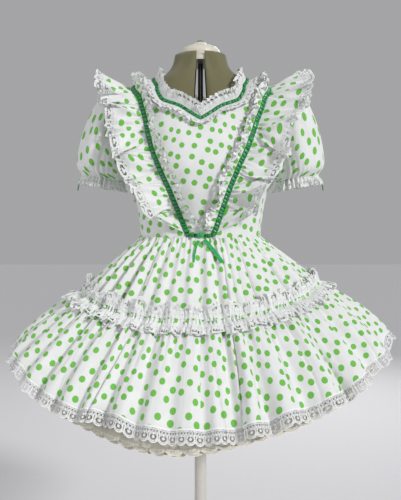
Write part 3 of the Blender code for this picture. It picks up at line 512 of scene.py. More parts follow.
formShape = {
    "height": (-0.220, -0.120, 0.0, 0.060, 0.110, 0.160, 0.200, 0.250, 0.300, 0.335, 0.352,
               0.366, 0.378, 0.392, 0.412, 0.440),
    "halfWidth": (0.163, 0.155, 0.130, 0.137, 0.148, 0.156, 0.160, 0.163, 0.167, 0.162, 0.144,
                  0.119, 0.097, 0.078, 0.066, 0.060),
    "front": (0.108, 0.104, 0.094, 0.104, 0.120, 0.129, 0.123, 0.106, 0.088, 0.075, 0.069,
              0.066, 0.064, 0.062, 0.059, 0.057),
    "back": (0.126, 0.116, 0.092, 0.094, 0.098, 0.102, 0.105, 0.105, 0.096, 0.083, 0.075,
             0.070, 0.068, 0.066, 0.062, 0.058),
    "power": (2.2, 2.2, 2.2, 2.2, 2.3, 2.3, 2.4, 2.4, 2.4, 2.4, 2.3, 2.3, 2.2, 2.1, 2.0, 2.0),
}


def formPoint(azimuth, height):
    azimuth, height = np.broadcast_arrays(np.asarray(azimuth, float), np.asarray(height, float))
    power = 2 / tableAt(formShape, "power", height)
    front, back = tableAt(formShape, "front", height), tableAt(formShape, "back", height)
    deep = np.where(np.cos(azimuth) > 0, front, back)
    x = tableAt(formShape, "halfWidth", height) * signedPower(np.sin(azimuth), power)
    return np.stack((x, -deep * signedPower(np.cos(azimuth), power), height), -1)


def formOut(azimuth, height):
    turn, rise = 0.03, 0.003
    across = formPoint(azimuth + turn, height) - formPoint(azimuth - turn, height)
    up = formPoint(azimuth, height + rise) - formPoint(azimuth, height - rise)
    return unit(np.cross(across, up))


def azimuthAside(aside, height, back=False):
    power = tableAt(formShape, "power", height) / 2
    share = np.minimum(1.0, aside / tableAt(formShape, "halfWidth", height))
    angle = np.arcsin(share**power)
    return math.pi - angle if back else angle


def azimuthDeep(deep, height, back=False):
    power = tableAt(formShape, "power", height) / 2
    share = np.minimum(1.0, deep / tableAt(formShape, "back" if back else "front", height))
    angle = np.arccos(share**power)
    return math.pi - angle if back else angle


formPanel = {
    "low": -0.215,
    "high": 0.432,
    "rows": 84,
    "columns": 22,
    "step": 0.012,
    "wall": 0.004,
    "roll": 0.0012,
    "rollPerEdge": 40,
    "slits": {"height": (-0.22, 0.30, 0.44), "front": (0.032, 0.030, 0.018),
              "side": (0.016, 0.014, 0.010)},
}


def makeFormPanels():
    p = formPanel
    count, share = p["columns"], np.linspace(0, 1, p["columns"])
    heights = np.linspace(p["low"], p["high"], p["rows"])
    high, k = np.repeat(heights[:, None], count, 1), np.arange(count - 1)
    edge = np.minimum(np.minimum(share, 1 - share)[None, :] * p["rollPerEdge"], 1.0)
    roll = p["roll"] * (1 - edge) ** 2
    for sideName, side in (("left", -1), ("right", 1)):
        for endName, back in (("front", False), ("back", True)):
            first = azimuthAside(tableAt(p["slits"], "front", heights) / 2, heights, back)
            last = azimuthDeep(tableAt(p["slits"], "side", heights) / 2, heights, back)
            azimuth = side * (first[:, None] + (last - first)[:, None] * share)
            outer, out = formPoint(azimuth, high), formOut(azimuth, high)
            outer = outer - out * roll[..., None]
            inner = outer[:, ::-1] - out[:, ::-1] * (p["wall"] - 2 * roll[:, ::-1])[..., None]
            ring = np.concatenate((outer, inner), 1)
            wide, turned = ring.shape[1], (side < 0) == back
            faces, row, column = gridFaces(p["rows"], wide, True)
            if turned:
                faces, row, column = faces[:, ::-1], row[:, ::-1], column[:, ::-1]
            for level in (0, p["rows"] - 1):  # the panel's bottom and top edges
                cap = level * wide + np.stack((k, k + 1, wide - 2 - k, wide - 1 - k), 1)
                faces = np.concatenate((faces, cap if (level > 0) != turned else cap[:, ::-1]))
            places = np.stack((column * p["step"], heights[row]), -1)
            places = np.concatenate((places, np.zeros((2 * len(k), 4, 2))))
            name = f"formPanel{endName.title()}{sideName.title()}"
            piece = makeMesh(name, ring.reshape(-1, 3), faces, places, oliveJersey)
            place(piece, [f"form_{endName}_{sideName}"])


def turnedPiece(name, profile, material, steps):  # a closed solid turned about the pole
    inner = profile[1:-1]
    angles = [k * fullTurn / steps for k in range(steps)]
    turns = [(math.sin(angle), -math.cos(angle)) for angle in angles]
    points = [(0, 0, profile[0][1])]
    points += [(x * radius, y * radius, height) for radius, height in inner for x, y in turns]
    points.append((0, 0, profile[-1][1]))
    faces, last = [], 1 + (len(inner) - 1) * steps
    for k in range(steps):
        after = (k + 1) % steps
        faces += [(0, 1 + k, 1 + after), (len(points) - 1, last + after, last + k)]
        faces += [(low + k, low + steps + k, low + steps + after, low + after)
                  for low in range(1, last, steps)]
    mesh = bpy.data.meshes.new(name)
    mesh.from_pydata([(x, y, z + waistHeight) for x, y, z in points], [], faces)
    mesh.shade_smooth()
    mesh.materials.append(material)
    return addObject(name, mesh)


def roundCorners(profile, radius, steps=4):  # each sharp corner of a profile becomes a small curve
    profile = [np.array(p, float) for p in profile]
    result = [profile[0]]
    for before, corner, after in zip(profile[:-2], profile[1:-1], profile[2:]):
        intoCorner, outOf = before - corner, after - corner
        reach = min(radius, 0.45 * np.linalg.norm(intoCorner), 0.45 * np.linalg.norm(outOf))
        start = corner + unit(intoCorner) * reach
        end = corner + unit(outOf) * reach
        for t in np.linspace(0, 1, steps + 1):
            result.append(start * (1 - t) ** 2 + corner * 2 * t * (1 - t) + end * t**2)
    result.append(profile[-1])
    return result


standParts = {
    "base": ((0.0, 0.050), (0.020, 0.050), (0.022, 0.024), (0.040, 0.014), (0.190, 0.010),
             (0.205, 0.006), (0.205, 0.0), (0.0, 0.0)),
    "cap": ((0.0, 0.4647), (0.0125, 0.4645), (0.0165, 0.4600), (0.0205, 0.4565),
            (0.0310, 0.4545), (0.0400, 0.4510), (0.0455, 0.4450), (0.0475, 0.4385),
            (0.0475, 0.4340), (0.0468, 0.4334), (0.0475, 0.4328), (0.0475, 0.4244), (0.0, 0.4244)),
    "knob": ((0.0, 0.4700), (0.0070, 0.4695), (0.0095, 0.4670), (0.0100, 0.4651), (0.0, 0.4651)),
    "pole": ((0.0, -0.2084), (0.014, -0.2084), (0.014, -0.9796), (0.0, -0.9796)),
    "rod": ((0.0, 0.4136), (0.0062, 0.4136), (0.0062, -0.1976), (0.0, -0.1976)),
}


def makeStand():
    for name, part, slot, corner, cuts, steps in (
        ("standBase", "base", "painted_iron", 0.003, 4, 96),
        ("neckCap", "cap", "cream_plastic", 0.0012, 3, 96),
        ("heightKnob", "knob", "grey_plastic", 0.0012, 3, 96),
        ("standPole", "pole", "painted_iron", 0.001, 3, 64),
        ("neckRod", "rod", "bright_steel", 0.001, 3, 64),
    ):
        low = waistHeight if part == "base" else 0  # the base is measured from the floor
        profile = [(radius, height - low) for radius, height in standParts[part]]
        piece = turnedPiece(name, roundCorners(profile, corner, cuts), hard[slot], steps)
        place(piece, [f"form_{part}"])
    for node, slot in (("form_hub_upper", "cream_plastic"), ("form_hub_lower", "painted_iron")):
        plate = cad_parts[node]
        plate.data.materials.clear()
        plate.data.materials.append(hard[slot])


makeFormPanels()
makeStand()
print("form and stand made")


# Bodice

bodiceEase = {
    "height": (0.0, 0.06, 0.11, 0.16, 0.25, 0.32, 0.345, 0.365, 0.40),
    "gap": (0.0120, 0.0110, 0.0090, 0.0070, 0.0050, 0.0062, 0.0036, 0.0026, 0.0018),
}
neckline = {
    "across": (0.0, 0.11, 0.22, 0.33, 0.52, 0.75, 1.0),
    "front": (0.286, 0.302, 0.324, 0.350, 0.370, 0.380, 0.385),
    "back": (0.342, 0.345, 0.352, 0.360, 0.371, 0.380, 0.385),
}
bodice = {
    "rows": 104,
    "columns": 78,
    "shoulder": 0.385,
    "armholeHeight": 0.262,
    "armholeTall": 0.078,
    "armholeDeep": 0.052,
    "sideSeam": 0.0007,
    "backSeam": 0.003,
    "waistGather": 0.0012,
    "drag": 0.0011,
    "cloth": 0.0012,
    "tuck": 0.0010,  # how far the lower edge reaches below the waist seam
}


def bodicePoint(azimuth, height, out=0.0):
    gap = tableAt(bodiceEase, "gap", height) + out
    return formPoint(azimuth, height) + formOut(azimuth, height) * gap[..., None]


def armholeDeep(height):
    rise = (height - bodice["armholeHeight"]) / bodice["armholeTall"]
    deep = bodice["armholeDeep"] * np.sqrt(np.maximum(0.0, 1 - rise**2))
    return np.maximum(bodice["sideSeam"] / 2, deep)


def panelPoints(back, across):  # across runs from -1 at the left edge to 1
    levels = np.linspace(0, 1, bodice["rows"])
    across, level = np.meshgrid(across, levels)
    top = tableAt(neckline, "back" if back else "front", np.abs(across))
    height = level * top
    edge = azimuthDeep(armholeDeep(height), height, back)
    if back:
        edge = math.pi - edge
    turn = across * edge
    azimuth = math.pi - turn if back else turn
    gather = ripple(azimuth / fullTurn, 70, 130, 3) * np.exp(-height / 0.018)
    folds = ripple(azimuth / fullTurn + 0.12 * height, 8, 26, 4)
    calm = bell(height - 0.20, 0.12)
    out = bodice["cloth"] / 2 + bodice["waistGather"] * 0.5 * (1 + gather)
    out = out + bodice["drag"] * folds * (1 - 0.6 * calm) * np.minimum(1, (top - height) / 0.02)
    return bodicePoint(azimuth, height, out)


def makeBodice():
    wide, seam = bodice["columns"], bodice["backSeam"]
    for side, across, middle, cut, area in (
        ("Front", np.linspace(-1, 1, 2 * wide), wide, (0.50, 0.40), 0.142),
        ("BackRight", np.linspace(seam, 1, wide), 0, (0.25, 0.40), 0.064),
        ("BackLeft", np.linspace(-1, -seam, wide), wide - 1, (0.25, 0.40), 0.064),
    ):
        back = side != "Front"
        points = panelPoints(back, across)
        points[0, :, 2] -= bodice["tuck"]
        aside, rise = arcRows(points), arcColumns(points)
        aside = aside - aside[:, middle:middle + 1]
        if back:
            points, aside, rise = points[:, ::-1], aside[:, ::-1], rise[:, ::-1]
        cloth = cottons["back" if back else "front"]
        node = {"Front": "front", "BackRight": "back_right", "BackLeft": "back_left"}[side]
        piece = sheetPiece(f"bodice{side}", points, aside, rise, cloth)
        place(piece, [f"bodice_{node}"])


makeBodice()
print("bodice made")


# Sleeves

sleeve = {
    "x": (0.188, 0.208, 0.227, 0.237, 0.231),
    "height": (0.260, 0.249, 0.206, 0.160, 0.138),
    "turn": (5.0, 21.0, 48.0, 73.0, 80.0),
    "tall": (0.083, 0.086, 0.068, 0.059, 0.048),
    "deep": (0.057, 0.066, 0.075, 0.069, 0.050),
    "columns": 230,
    "rows": 64,
    "capGather": 0.0030,
    "cuffGather": 0.0042,
    "puff": 0.0020,
    "seamLift": 0.0022,
    "fuller": {"Left": 0.0010, "Right": 0.0095},
    "cut": (0.56, 0.24),
    "area": 0.098,
}
cuffLace = {
    "width": 0.024, "pitch": 0.0125, "repeats": 46, "columns": 10, "rows": 11,
    "scallop": 0.0036, "picot": 0.0003, "flare": 0.009, "folds": 19, "fold": 0.0056, "dent": 0.0024,
    "cut": (0.56, 0.024),
    "rings": ((0.0062, 0.0125, 0.0032, 0.0034, 0.0015, 0.0016, 0.0007),),
    "eyelets": ((0.0, 0.0075, 0.0011), (0.0, 0.0175, 0.0010), (0.0062, 0.0040, 0.0009)),
}


def sleeveSpread(ring, angle, more):  # a ring's points from its middle
    turn = math.radians(sleeve["turn"][ring])
    up = np.array((math.sin(turn), 0, math.cos(turn)))
    forward = np.array((0, -1.0, 0))
    tall, deep = sleeve["tall"][ring] + more, sleeve["deep"][ring] + more
    return up * (tall * np.cos(angle))[..., None] + forward * (deep * np.sin(angle))[..., None]


def sleeveMiddle(ring):
    return np.array((sleeve["x"][ring], 0, sleeve["height"][ring]))


laces = {"cuff": makeLace("cuffLace", cuffLace, ("thread", "brightGap"))}


def makeSleeves():
    angle = np.arange(sleeve["columns"]) * fullTurn / sleeve["columns"]
    turns = angle / fullTurn
    height = bodice["armholeHeight"] + bodice["armholeTall"] * np.cos(angle)
    ends = [azimuthDeep(armholeDeep(height), height, back) for back in (False, True)]
    azimuth = np.where(np.sin(angle) >= 0, *ends)
    rings = range(len(sleeve["x"]))
    spreads = [sleeveSpread(i, angle, 0.0) for i in rings]
    rows = [bodicePoint(azimuth, height, np.full(len(height), sleeve["seamLift"]))]
    rows += [sleeveMiddle(i) + spreads[i] for i in rings]
    at = np.linspace(0, len(rings), sleeve["rows"])
    out = unit(smoothRows([unit(spread) for spread in spreads[:1] + spreads], at))
    surface = smoothRows(rows, at)
    down = arcColumns(surface).mean(1)
    capFade = np.exp(-down / 0.030) * np.minimum(1, down / 0.004)
    cuffFade = np.exp(-(down[-1] - down) / 0.024)
    swell = np.sin(math.pi * np.clip(down / down[-1], 0, 1))
    top = bell(down - 0.045, 0.060) * np.minimum(1, down / 0.030)
    onTop = 0.35 + 0.65 * np.clip(np.cos(angle), 0, 1)
    upper = 0.4 + 0.6 * bell(turns - np.round(turns), 0.3)
    falling = math.radians(sleeve["turn"][-1])
    fallDown = np.array((math.cos(falling), 0, -math.sin(falling)))
    for name, side, seed in (("Left", -1, 11), ("Right", 1, 12)):
        low, flip = name.lower(), np.array((side, 1, 1))
        cuff = ripple(turns, 20, 34, seed + 4)
        move = 0.0
        for size, fade, waves in (
            (sleeve["capGather"], capFade, ripple(turns, 26, 52, seed) * upper * onTop),
            (sleeve["cuffGather"], cuffFade, cuff),
            (sleeve["puff"], swell, ripple(turns, 3, 9, seed + 8)),
            (sleeve["fuller"][name], top, onTop),
        ):
            move = move + size * fade[:, None] * waves
        points = (surface + out * move[..., None]) * flip
        around, fall = arcRows(surface, True) * side, down
        if side > 0:
            points, around, fall = points[::-1], around[::-1], fall[::-1]
        piece = sheetPiece(f"sleeve{name}", points, around, -fall, cottons["sleeve"], True)
        place(piece, [f"sleeve_{low}"])

        def cuffSurface(along, share):
            wave = np.interp(along % 1, np.append(turns, 1), np.append(cuff, cuff[0]))
            out, aside = foldOver(along, cuffLace["folds"], seed + 9)
            more = sleeve["cuffGather"] * wave * (1 - 0.3 * share) + cuffLace["flare"] * share
            more = more + cuffLace["fold"] * share * out
            more = more + cuffLace["dent"] * share * crumple(along, share, 24, 46, seed + 20)
            base = sleeveMiddle(4) + sleeveSpread(4, along * fullTurn + 0.05 * share * aside, more)
            fall = 0.0004 + (cuffLace["width"] - 0.001) * share
            return (base + fallDown * fall[..., None]) * flip

        piece = lacePiece(f"cuffLace{name}", cuffSurface, cuffLace, laces["cuff"], True)
        place(piece, [f"cuff_lace_{low}"])


cuffRibbon = {"start": (0.277, -0.012, 0.140), "end": (0.291, -0.016, 0.110), "width": 0.0034}


def makeCuffRibbons():  # a short green end hangs at the outside of each cuff
    c = cuffRibbon
    share = np.linspace(0, 1, 16)[None, :, None]
    across = np.linspace(-1, 1, 4)[:, None, None]
    start, end = np.array(c["start"]), np.array(c["end"])
    line = start + (end - start) * share + np.array((0.004, 0, 0)) * np.sin(math.pi * share)
    points = line + np.array((0.6, -0.8, 0)) * across * c["width"] / 2
    for name, side in (("Left", -1), ("Right", 1)):
        piece = sheetPiece(f"cuffRibbon{name}", points * np.array((side, 1, 1)),
                           np.linspace(0, 0.034, 16), np.linspace(0, c["width"], 4), greenSatin)
        place(piece, [])


makeSleeves()
makeCuffRibbons()
print("sleeves, cuff lace and cuff ribbons made")


# Lines on the bodice that the trims follow

strapLine = {
    "front": ((0.0300, 0.016), (0.0455, 0.058), (0.0660, 0.107), (0.0920, 0.162),
              (0.1200, 0.230), (0.1370, 0.290), (0.1460, 0.325)),
    "ridge": 0.3475,
    "back": ((0.1440, 0.325), (0.1380, 0.285), (0.1220, 0.215), (0.0960, 0.130),
             (0.0720, 0.060), (0.0580, 0.016)),
    "inward": {"Left": (0.0, 0.0, 0.001, 0.002, 0.006, 0.009, 0.008),
               "Right": (0.0, 0.002, 0.006, 0.009, 0.007, 0.003, 0.001)},
}
neckLine = {
    "front": ((0.0, 0.266), (0.0250, 0.281), (0.0470, 0.296), (0.0700, 0.305),
              (0.0850, 0.312), (0.0930, 0.325), (0.0990, 0.345)),
    "ridge": 0.3725,
    "back": ((0.0960, 0.350), (0.0800, 0.338), (0.0500, 0.328), (0.0, 0.324)),
}
trimLift = 0.0022
shoulderLift = 0.0075  # the frills' bulk holds the straps up over the shoulders
turnCrowding = 0.035  # how much closer the CAD's marks lie where a line bends


def followLine(line, count):  # azimuths and heights along a line, as the solids have them
    marks = [(float(azimuthAside(a, h)), h) for a, h in line["front"]]
    marks.append((math.pi / 2, line["ridge"]))
    marks += [(float(azimuthAside(a, h, True)), h) for a, h in line["back"]]
    marks = np.array(marks)
    lengths = arcAlong(bodicePoint(marks[:, 0], marks[:, 1], np.zeros(len(marks))))
    slopes = np.gradient(marks, lengths, axis=0)
    at = np.linspace(0, lengths[-1], 641)
    i = np.clip(np.searchsorted(lengths, at, side="right") - 1, 0, len(marks) - 2)
    width = (lengths[i + 1] - lengths[i])[:, None]
    fine = hermite(marks, slopes, i, width, (at[:, None] - lengths[i][:, None]) / width)
    points = bodicePoint(fine[:, 0], fine[:, 1], np.zeros(len(fine)))
    measure = arcAlong(points) + turnCrowding * arcAlong(formOut(fine[:, 0], fine[:, 1]))
    even = np.linspace(0, measure[-1], count)
    return np.stack([np.interp(even, measure, fine[:, k]) for k in (0, 1)], -1)


def lineStations(marks, side, wrap=False):
    flip = np.array((side, 1, 1))
    azimuth, height = marks[:, 0], marks[:, 1]
    middle = np.abs(np.arange(len(marks)) / (len(marks) - 1) - 0.5)
    over = 0.0 if wrap else shoulderLift * bell(middle, 0.09)
    points = bodicePoint(azimuth, height, np.full(len(marks), trimLift) + over) * flip
    out = formOut(azimuth, height) * flip
    if wrap:
        along = unit(np.roll(points, -1, 0) - np.roll(points, 1, 0))
        return [np.concatenate((a, a[:1])) for a in (points, out, along)]
    return [points, out, unit(np.gradient(points, axis=0))]


def atStations(line, t):  # point, outward and lengthwise directions at shares of a line
    at, keys = np.asarray(t, float) * (len(line[0]) - 1), np.arange(len(line[0]))
    point, out, along = (
        np.stack([np.interp(at, keys, values[:, k]) for k in range(3)], -1) for values in line
    )
    return point, unit(out), unit(along)


def stripPoints(line, toward, start, lift, sweep, t, distance, swing, slide):
    point, out, along = atStations(line, t)
    across = unit(np.cross(along, out)) * toward
    lift, sweep = np.radians(lift)[..., None], np.radians(sweep)[..., None]
    lean = across * np.cos(lift) + out * np.sin(lift)
    stand = out * np.cos(lift) - across * np.sin(lift)
    reach = lean * np.cos(sweep) + along * np.sin(sweep)
    move = reach * distance[..., None] + stand * swing[..., None] + along * slide[..., None]
    return point + across * start + move


def longerLine(line, reach, steps=12):  # the line carried straight on before its start
    shares = np.linspace(-1, 0, steps, endpoint=False)[:, None]
    start = line[0][:1] + line[2][:1] * reach * shares
    ahead = [np.repeat(values[:1], steps, 0) for values in line[1:]]
    return [np.concatenate(pair) for pair in zip([start] + ahead, line)]


ribbon = {
    "strapWidth": 0.0122,
    "neckWidth": 0.0080,
    "ridgePitch": 0.0086,
    "ridge": 0.0030,
    "slant": 0.12,
    "rows": 11,
    "perRidge": 12,
    "ahead": 0.0075,  # how far it runs on below the first mark of a strap
    "fullness": 1.5,
    "flatWider": 1.1,
}


def makeRibbon(name, nodes, line, width, seed, wrap=False):
    length = arcAlong(line[0])[-1]
    ridges = max(3, int(length / ribbon["ridgePitch"]))
    count = ridges * ribbon["perRidge"]
    t = np.arange(count + (0 if wrap else 1)) / count
    across = np.linspace(1, -1, ribbon["rows"])
    point, out, along = atStations(line, t)
    aside = unit(np.cross(along, out))
    wander = 0.30 * ripple(t, ridges // 5 + 1, ridges // 3 + 2, seed)
    height = 0.75 + 0.32 * ripple(t, ridges // 4 + 1, ridges // 2 + 2, seed + 1)
    rows, shirrs = [], []
    for k in across:
        phase = ridges * t + wander + ribbon["slant"] * k
        crest = np.abs(np.sin(math.pi * phase)) ** 0.7
        rise = ribbon["ridge"] * height * (crest - 0.35) * (1 - 0.35 * abs(k) ** 3)
        half = width / 2 * k * (0.90 + 0.16 * crest)
        rows.append(point + aside * half[:, None] + out * (rise + 0.0012 * (1 - k**2))[:, None])
        last = [ridges + wander[0] + ribbon["slant"] * k] if wrap else []
        shirrs.append(np.append(phase, last))
    places = np.array(shirrs) * satinColours["shirrFlat"]
    piece = sheetPiece(name, np.array(rows), places, across * width / 2, shirredSatin, wrap)
    return place(piece, nodes)


wing = {
    "along": (0.0, 0.08, 0.25, 0.40, 0.52, 0.63, 0.80, 0.93, 1.0),
    "width": (0.062, 0.066, 0.076, 0.084, 0.086, 0.080, 0.070, 0.066, 0.062),
    "leftTrim": (1.0, 1.0, 0.97, 0.88, 0.86, 0.92, 0.98, 1.0, 1.0),
    "rightRise": (0.0, 0.0, 0.0, 6.0, 9.0, 6.0, 0.0, 0.0, 0.0),
    "lift": (26.0, 32.0, 40.0, 58.0, 60.0, 61.0, 45.0, 34.0, 26.0),
    "sweep": (42.0, 36.0, 22.0, 9.0, 0.0, -9.0, -22.0, -36.0, -42.0),
    "start": 0.0062,
    "columns": 1200,
    "rows": 26,
    "rootGather": 0.0026,
    "edgeGather": 0.0062,
    "waves": 9,
    "fold": 0.0185,
    "overlap": 0.0195,
    "flaps": {  # share of the strap, half breadth, how far down the flap falls
        -1: ((0.275, 0.027, 0.050), (0.170, 0.021, 0.040), (0.080, 0.020, 0.032),
             (0.70, 0.026, 0.038), (0.84, 0.022, 0.030)),
        1: ((0.290, 0.029, 0.060), (0.180, 0.023, 0.048), (0.080, 0.021, 0.036),
            (0.68, 0.026, 0.036), (0.82, 0.022, 0.034)),
    },
    "cut": 1.68,  # flat length for each metre of the strap
    "cutWidth": 0.075,
    "dotSpread": 0.92,
}
wingLace = {
    "width": 0.0270, "pitch": 0.0205, "repeats": 76, "columns": 15, "rows": 13,
    "scallop": 0.0044, "picot": 0.0004, "overlap": 0.0080, "above": 0.0008,
    "rings": ((0.01025, 0.0164, 0.0069, 0.0055, 0.0036, 0.0028, 0.0012),),
    "eyelets": ((0.0040, 0.0062, 0.0013), (0.01025, 0.0050, 0.0014), (0.0165, 0.0062, 0.0013),
                (0.0, 0.0125, 0.0013), (0.0, 0.0180, 0.0010)),
}
innerFrill = {
    "width": 0.0150, "lift": 32.0, "start": 0.0060, "waves": 36, "fold": 0.0034,
    "overlap": 0.0034, "columns": 900, "rows": 8, "gather": 0.0022,
    "fullness": 1.6,
}
innerLace = {
    "width": 0.0170, "pitch": 0.0100, "repeats": 128, "columns": 7, "rows": 6,
    "scallop": 0.0028,
    "eyelets": ((0.0050, 0.0100, 0.0015), (0.0, 0.0070, 0.0010)),
}
laces["wing"] = makeLace("wingLace", wingLace)
laces["inner"] = makeLace("innerLace", innerLace, ("thread", "brightGap"))


def wingPoints(line, side, t, distance, seed, over=0.0):
    width, lift, sweep = (tableAt(wing, column, t) for column in ("width", "lift", "sweep"))
    if side < 0:
        distance = distance * tableAt(wing, "leftTrim", t)
    else:
        lift = lift + tableAt(wing, "rightRise", t)
    far = distance / width
    t = t + 0.012 * np.clip(far, 0, 1.2) * ripple(t, 2, 7, seed + 6)  # folds that lean and merge
    root = np.exp(-distance / 0.022) * np.minimum(1, distance / 0.004)
    swing = wing["rootGather"] * root * ripple(t, 60, 100, seed)
    grow = np.clip(far, 0, 1.25) ** 1.2
    swing = swing + wing["edgeGather"] * grow * crumple(t, far, 26, 54, seed + 1)
    out, aside = foldOver(t, wing["waves"], seed + 2)
    ends = np.minimum(1, np.minimum(t, 1 - t) / 0.05)
    slide = wing["overlap"] * np.clip(far - 0.15, 0, 1.2) ** 1.3 * aside * ends
    swing = swing + wing["fold"] * grow * out + over
    for middle, half, size in wing["flaps"][side]:
        near = bell(t - middle, half) * np.clip(far - 0.1, 0, 1.2) ** 0.8
        slide = slide + size * near * (-1 if middle < 0.5 else 1)
        swing = swing + 0.4 * size * near
    return stripPoints(line, side, wing["start"], lift, sweep, t, distance, swing, slide)


def makeStraps():
    f = innerFrill
    for name, side, seed in (("Left", -1, 21), ("Right", 1, 25)):
        low = name.lower()
        front = [(aside - inward, height) for (aside, height), inward
                 in zip(strapLine["front"], strapLine["inward"][name])]
        line = lineStations(followLine({**strapLine, "front": front}, 801), side)
        length = arcAlong(line[0])[-1]
        makeRibbon(f"strapRibbon{name}", [f"strap_ribbon_{low}"], longerLine(line, ribbon["ahead"]),
                   ribbon["strapWidth"], seed)

        def laceSurface(along, reach):
            start = tableAt(wing, "width", along) - wingLace["overlap"]
            distance = start + reach * wingLace["width"]
            return wingPoints(line, side, along, distance, seed, wingLace["above"])

        def frillSurface(along, distance):
            grow = np.clip(distance / 0.012, 0, 1.5)
            out, aside = foldOver(along, f["waves"], seed + 2)
            dents = crumple(along, distance / f["width"], 60, 96, seed + 5)
            swing = f["fold"] * grow * out + f["gather"] * grow * dents
            lift = f["lift"] + 14 * ripple(along, 5, 12, seed + 3) * np.clip(distance / 0.01, 0, 1)
            return stripPoints(line, -side, f["start"], lift, np.zeros_like(along), along,
                               distance, swing, f["overlap"] * grow * aside)

        def innerLaceSurface(along, reach):
            return frillSurface(along, f["width"] + reach * innerLace["width"])

        t, share = squareGrid(wing)
        width = tableAt(wing, "width", t)
        points = wingPoints(line, side, t, width * share, seed)
        if side > 0:
            points, share = points[::-1], share[::-1]
        around = arcAlong(points[wing["rows"] // 2]) * wing["dotSpread"]
        sheet = sheetPiece(f"wing{name}", points, around, share * width, cottons["wing"])
        wingEdge = lacePiece(f"wingLace{name}", laceSurface, wingLace, laces["wing"])
        t, share = squareGrid(f)
        points = frillSurface(t, share * f["width"])
        if side < 0:
            points, share = points[::-1], share[::-1]
        frill = sheetPiece(f"innerFrill{name}", points, t * length * f["fullness"],
                           share * f["width"], cottons["frill"])
        innerEdge = lacePiece(f"innerFrillLace{name}", innerLaceSurface, innerLace, laces["inner"])
        for piece, nodes, slot, wide, rests in (
            (sheet, [f"wing_{low}"], "dotted_cotton", wing["cutWidth"], "bodice_front"),
            (wingEdge, [f"wing_lace_{low}"], "white_lace", wingLace["width"], f"wing_{low}"),
            (frill, [f"inner_frill_{low}"], "dotted_cotton", f["width"], "bodice_front"),
            (innerEdge, [], "white_lace", innerLace["width"], f"inner_frill_{low}"),
        ):
            place(piece, nodes)


makeStraps()
print("straps, wings and their lace made")

neckLace = {
    "width": 0.0270, "pitch": 0.0125, "repeats": 96, "columns": 10, "rows": 13,
    "scallop": 0.0036, "picot": 0.0003, "lift": 34.0, "wave": 0.0046, "start": 0.0045, "folds": 54,
    "fullness": 1.25, "rings": ((0.0062, 0.0165, 0.0031, 0.0034, 0.0015, 0.0017, 0.0007),),
    "eyelets": ((0.0, 0.0080, 0.0010), (0.0, 0.0205, 0.0010), (0.0062, 0.0085, 0.0009)),
}
neckFlounce = {
    "width": 0.0200, "pitch": 0.0125, "repeats": 96, "columns": 9, "rows": 10,
    "scallop": 0.0030, "picot": 0.0003, "lift": 36.0, "wave": 0.0034, "start": 0.0045, "folds": 46,
    "fullness": 1.25, "rings": ((0.0062, 0.0110, 0.0028, 0.0030, 0.0013, 0.0014, 0.0006),),
    "eyelets": ((0.0, 0.0060, 0.0010), (0.0, 0.0140, 0.0009)),
}


def makeNeck():
    half = followLine(neckLine, 361)
    mirrored = half[-2:0:-1] * np.array((-1, 1))
    line = lineStations(np.concatenate((half, mirrored)), 1, True)
    makeRibbon("neckRibbon", ["neck_ribbon"], line, ribbon["neckWidth"], 41, True)
    for name, node, toward, lace, seed in (
        ("neckLace", "neck_lace", -1, neckLace, 43),
        ("neckFlounce", "neck_flounce", 1, neckFlounce, 47),
    ):
        def frill(along, reach):
            out, aside = foldOver(along, lace["folds"], seed)
            grow = np.clip(reach, 0, 1) ** 1.5
            dents = crumple(along, reach, 60, 110, seed + 4)
            lift = lace["lift"] + 7 * ripple(along, 5, 10, seed + 2) * grow
            return stripPoints(line, toward, lace["start"], lift, np.zeros_like(along), along,
                               reach * lace["width"], lace["wave"] * grow * (out + 0.55 * dents),
                               0.6 * lace["wave"] * grow * aside)

        piece = lacePiece(name, frill, lace, makeLace(f"{name}Net", lace), True)
        place(piece, [node])


makeNeck()
print("neck trims made")


# Skirt

skirtShape = {
    "tier": (0.0, 1.0, 2.0, 3.0),
    "wide": (0.1430, 0.2800, 0.4320, 0.4490),
    "front": (0.1070, 0.2060, 0.3170, 0.3320),
    "back": (0.1050, 0.2040, 0.3150, 0.3300),
    "power": (2.2, 2.0, 2.0, 2.0),
    "drop": (0.0016, 0.1180, 0.2420, 0.2590),
    "sag": (0.0, 0.056, 0.118, 0.128),
    "lean": (0.0, 0.009, 0.014, 0.015),
}
skirtFolds = {
    "azimuth": (-84.0, -71.0, -60.0, -51.0, -42.0, -34.0, -26.0, -17.0, -8.0, 1.0, 9.0, 18.0,
                29.0, 42.0, 57.0, 74.0),
    "depth": (0.6, 0.8, 0.5, 1.0, 0.6, 0.7, 1.0, 0.9, 0.6, 0.7, 1.0, 0.9, 0.6, 0.7, 1.0, 0.7),
    "waist": 0.0025,
    "tier": 0.0080,
    "hem": 0.0200,
    "sharpness": 1.5,
    "sagPower": 1.6,
    "puff": 0.009,
    "caught": ((-25.0, 7.0, 0.016), (-63.0, 4.0, 0.012), (-84.0, 5.0, 0.009), (57.0, 5.0, 0.010),
               (78.0, 4.0, 0.012), (24.0, 6.0, 0.006), (118.0, 6.0, 0.012), (160.0, 7.0, 0.009),
               (-118.0, 6.0, 0.012), (-152.0, 7.0, 0.010)),
}
skirt = {
    "columns": 1320,
    "upperRows": 34,
    "lowerRows": 36,
    "waistGather": 0.0018,
    "upperFold": 0.0034,
    "lowerGather": 0.0034,
    "lowerFold": 0.0036,
    "lowerPleat": 0.0215,
    "lowerCreases": 31,
    "hemPleat": 0.0210,
    "hemCreases": 19,
    "upperPleat": 0.0105,
    "upperCreases": 25,
    "tuck": 0.0016,
    "halfCloth": 0.0006,
    "upperCut": (1.80, 0.165),
    "lowerCut": (2.90, 0.190),
}
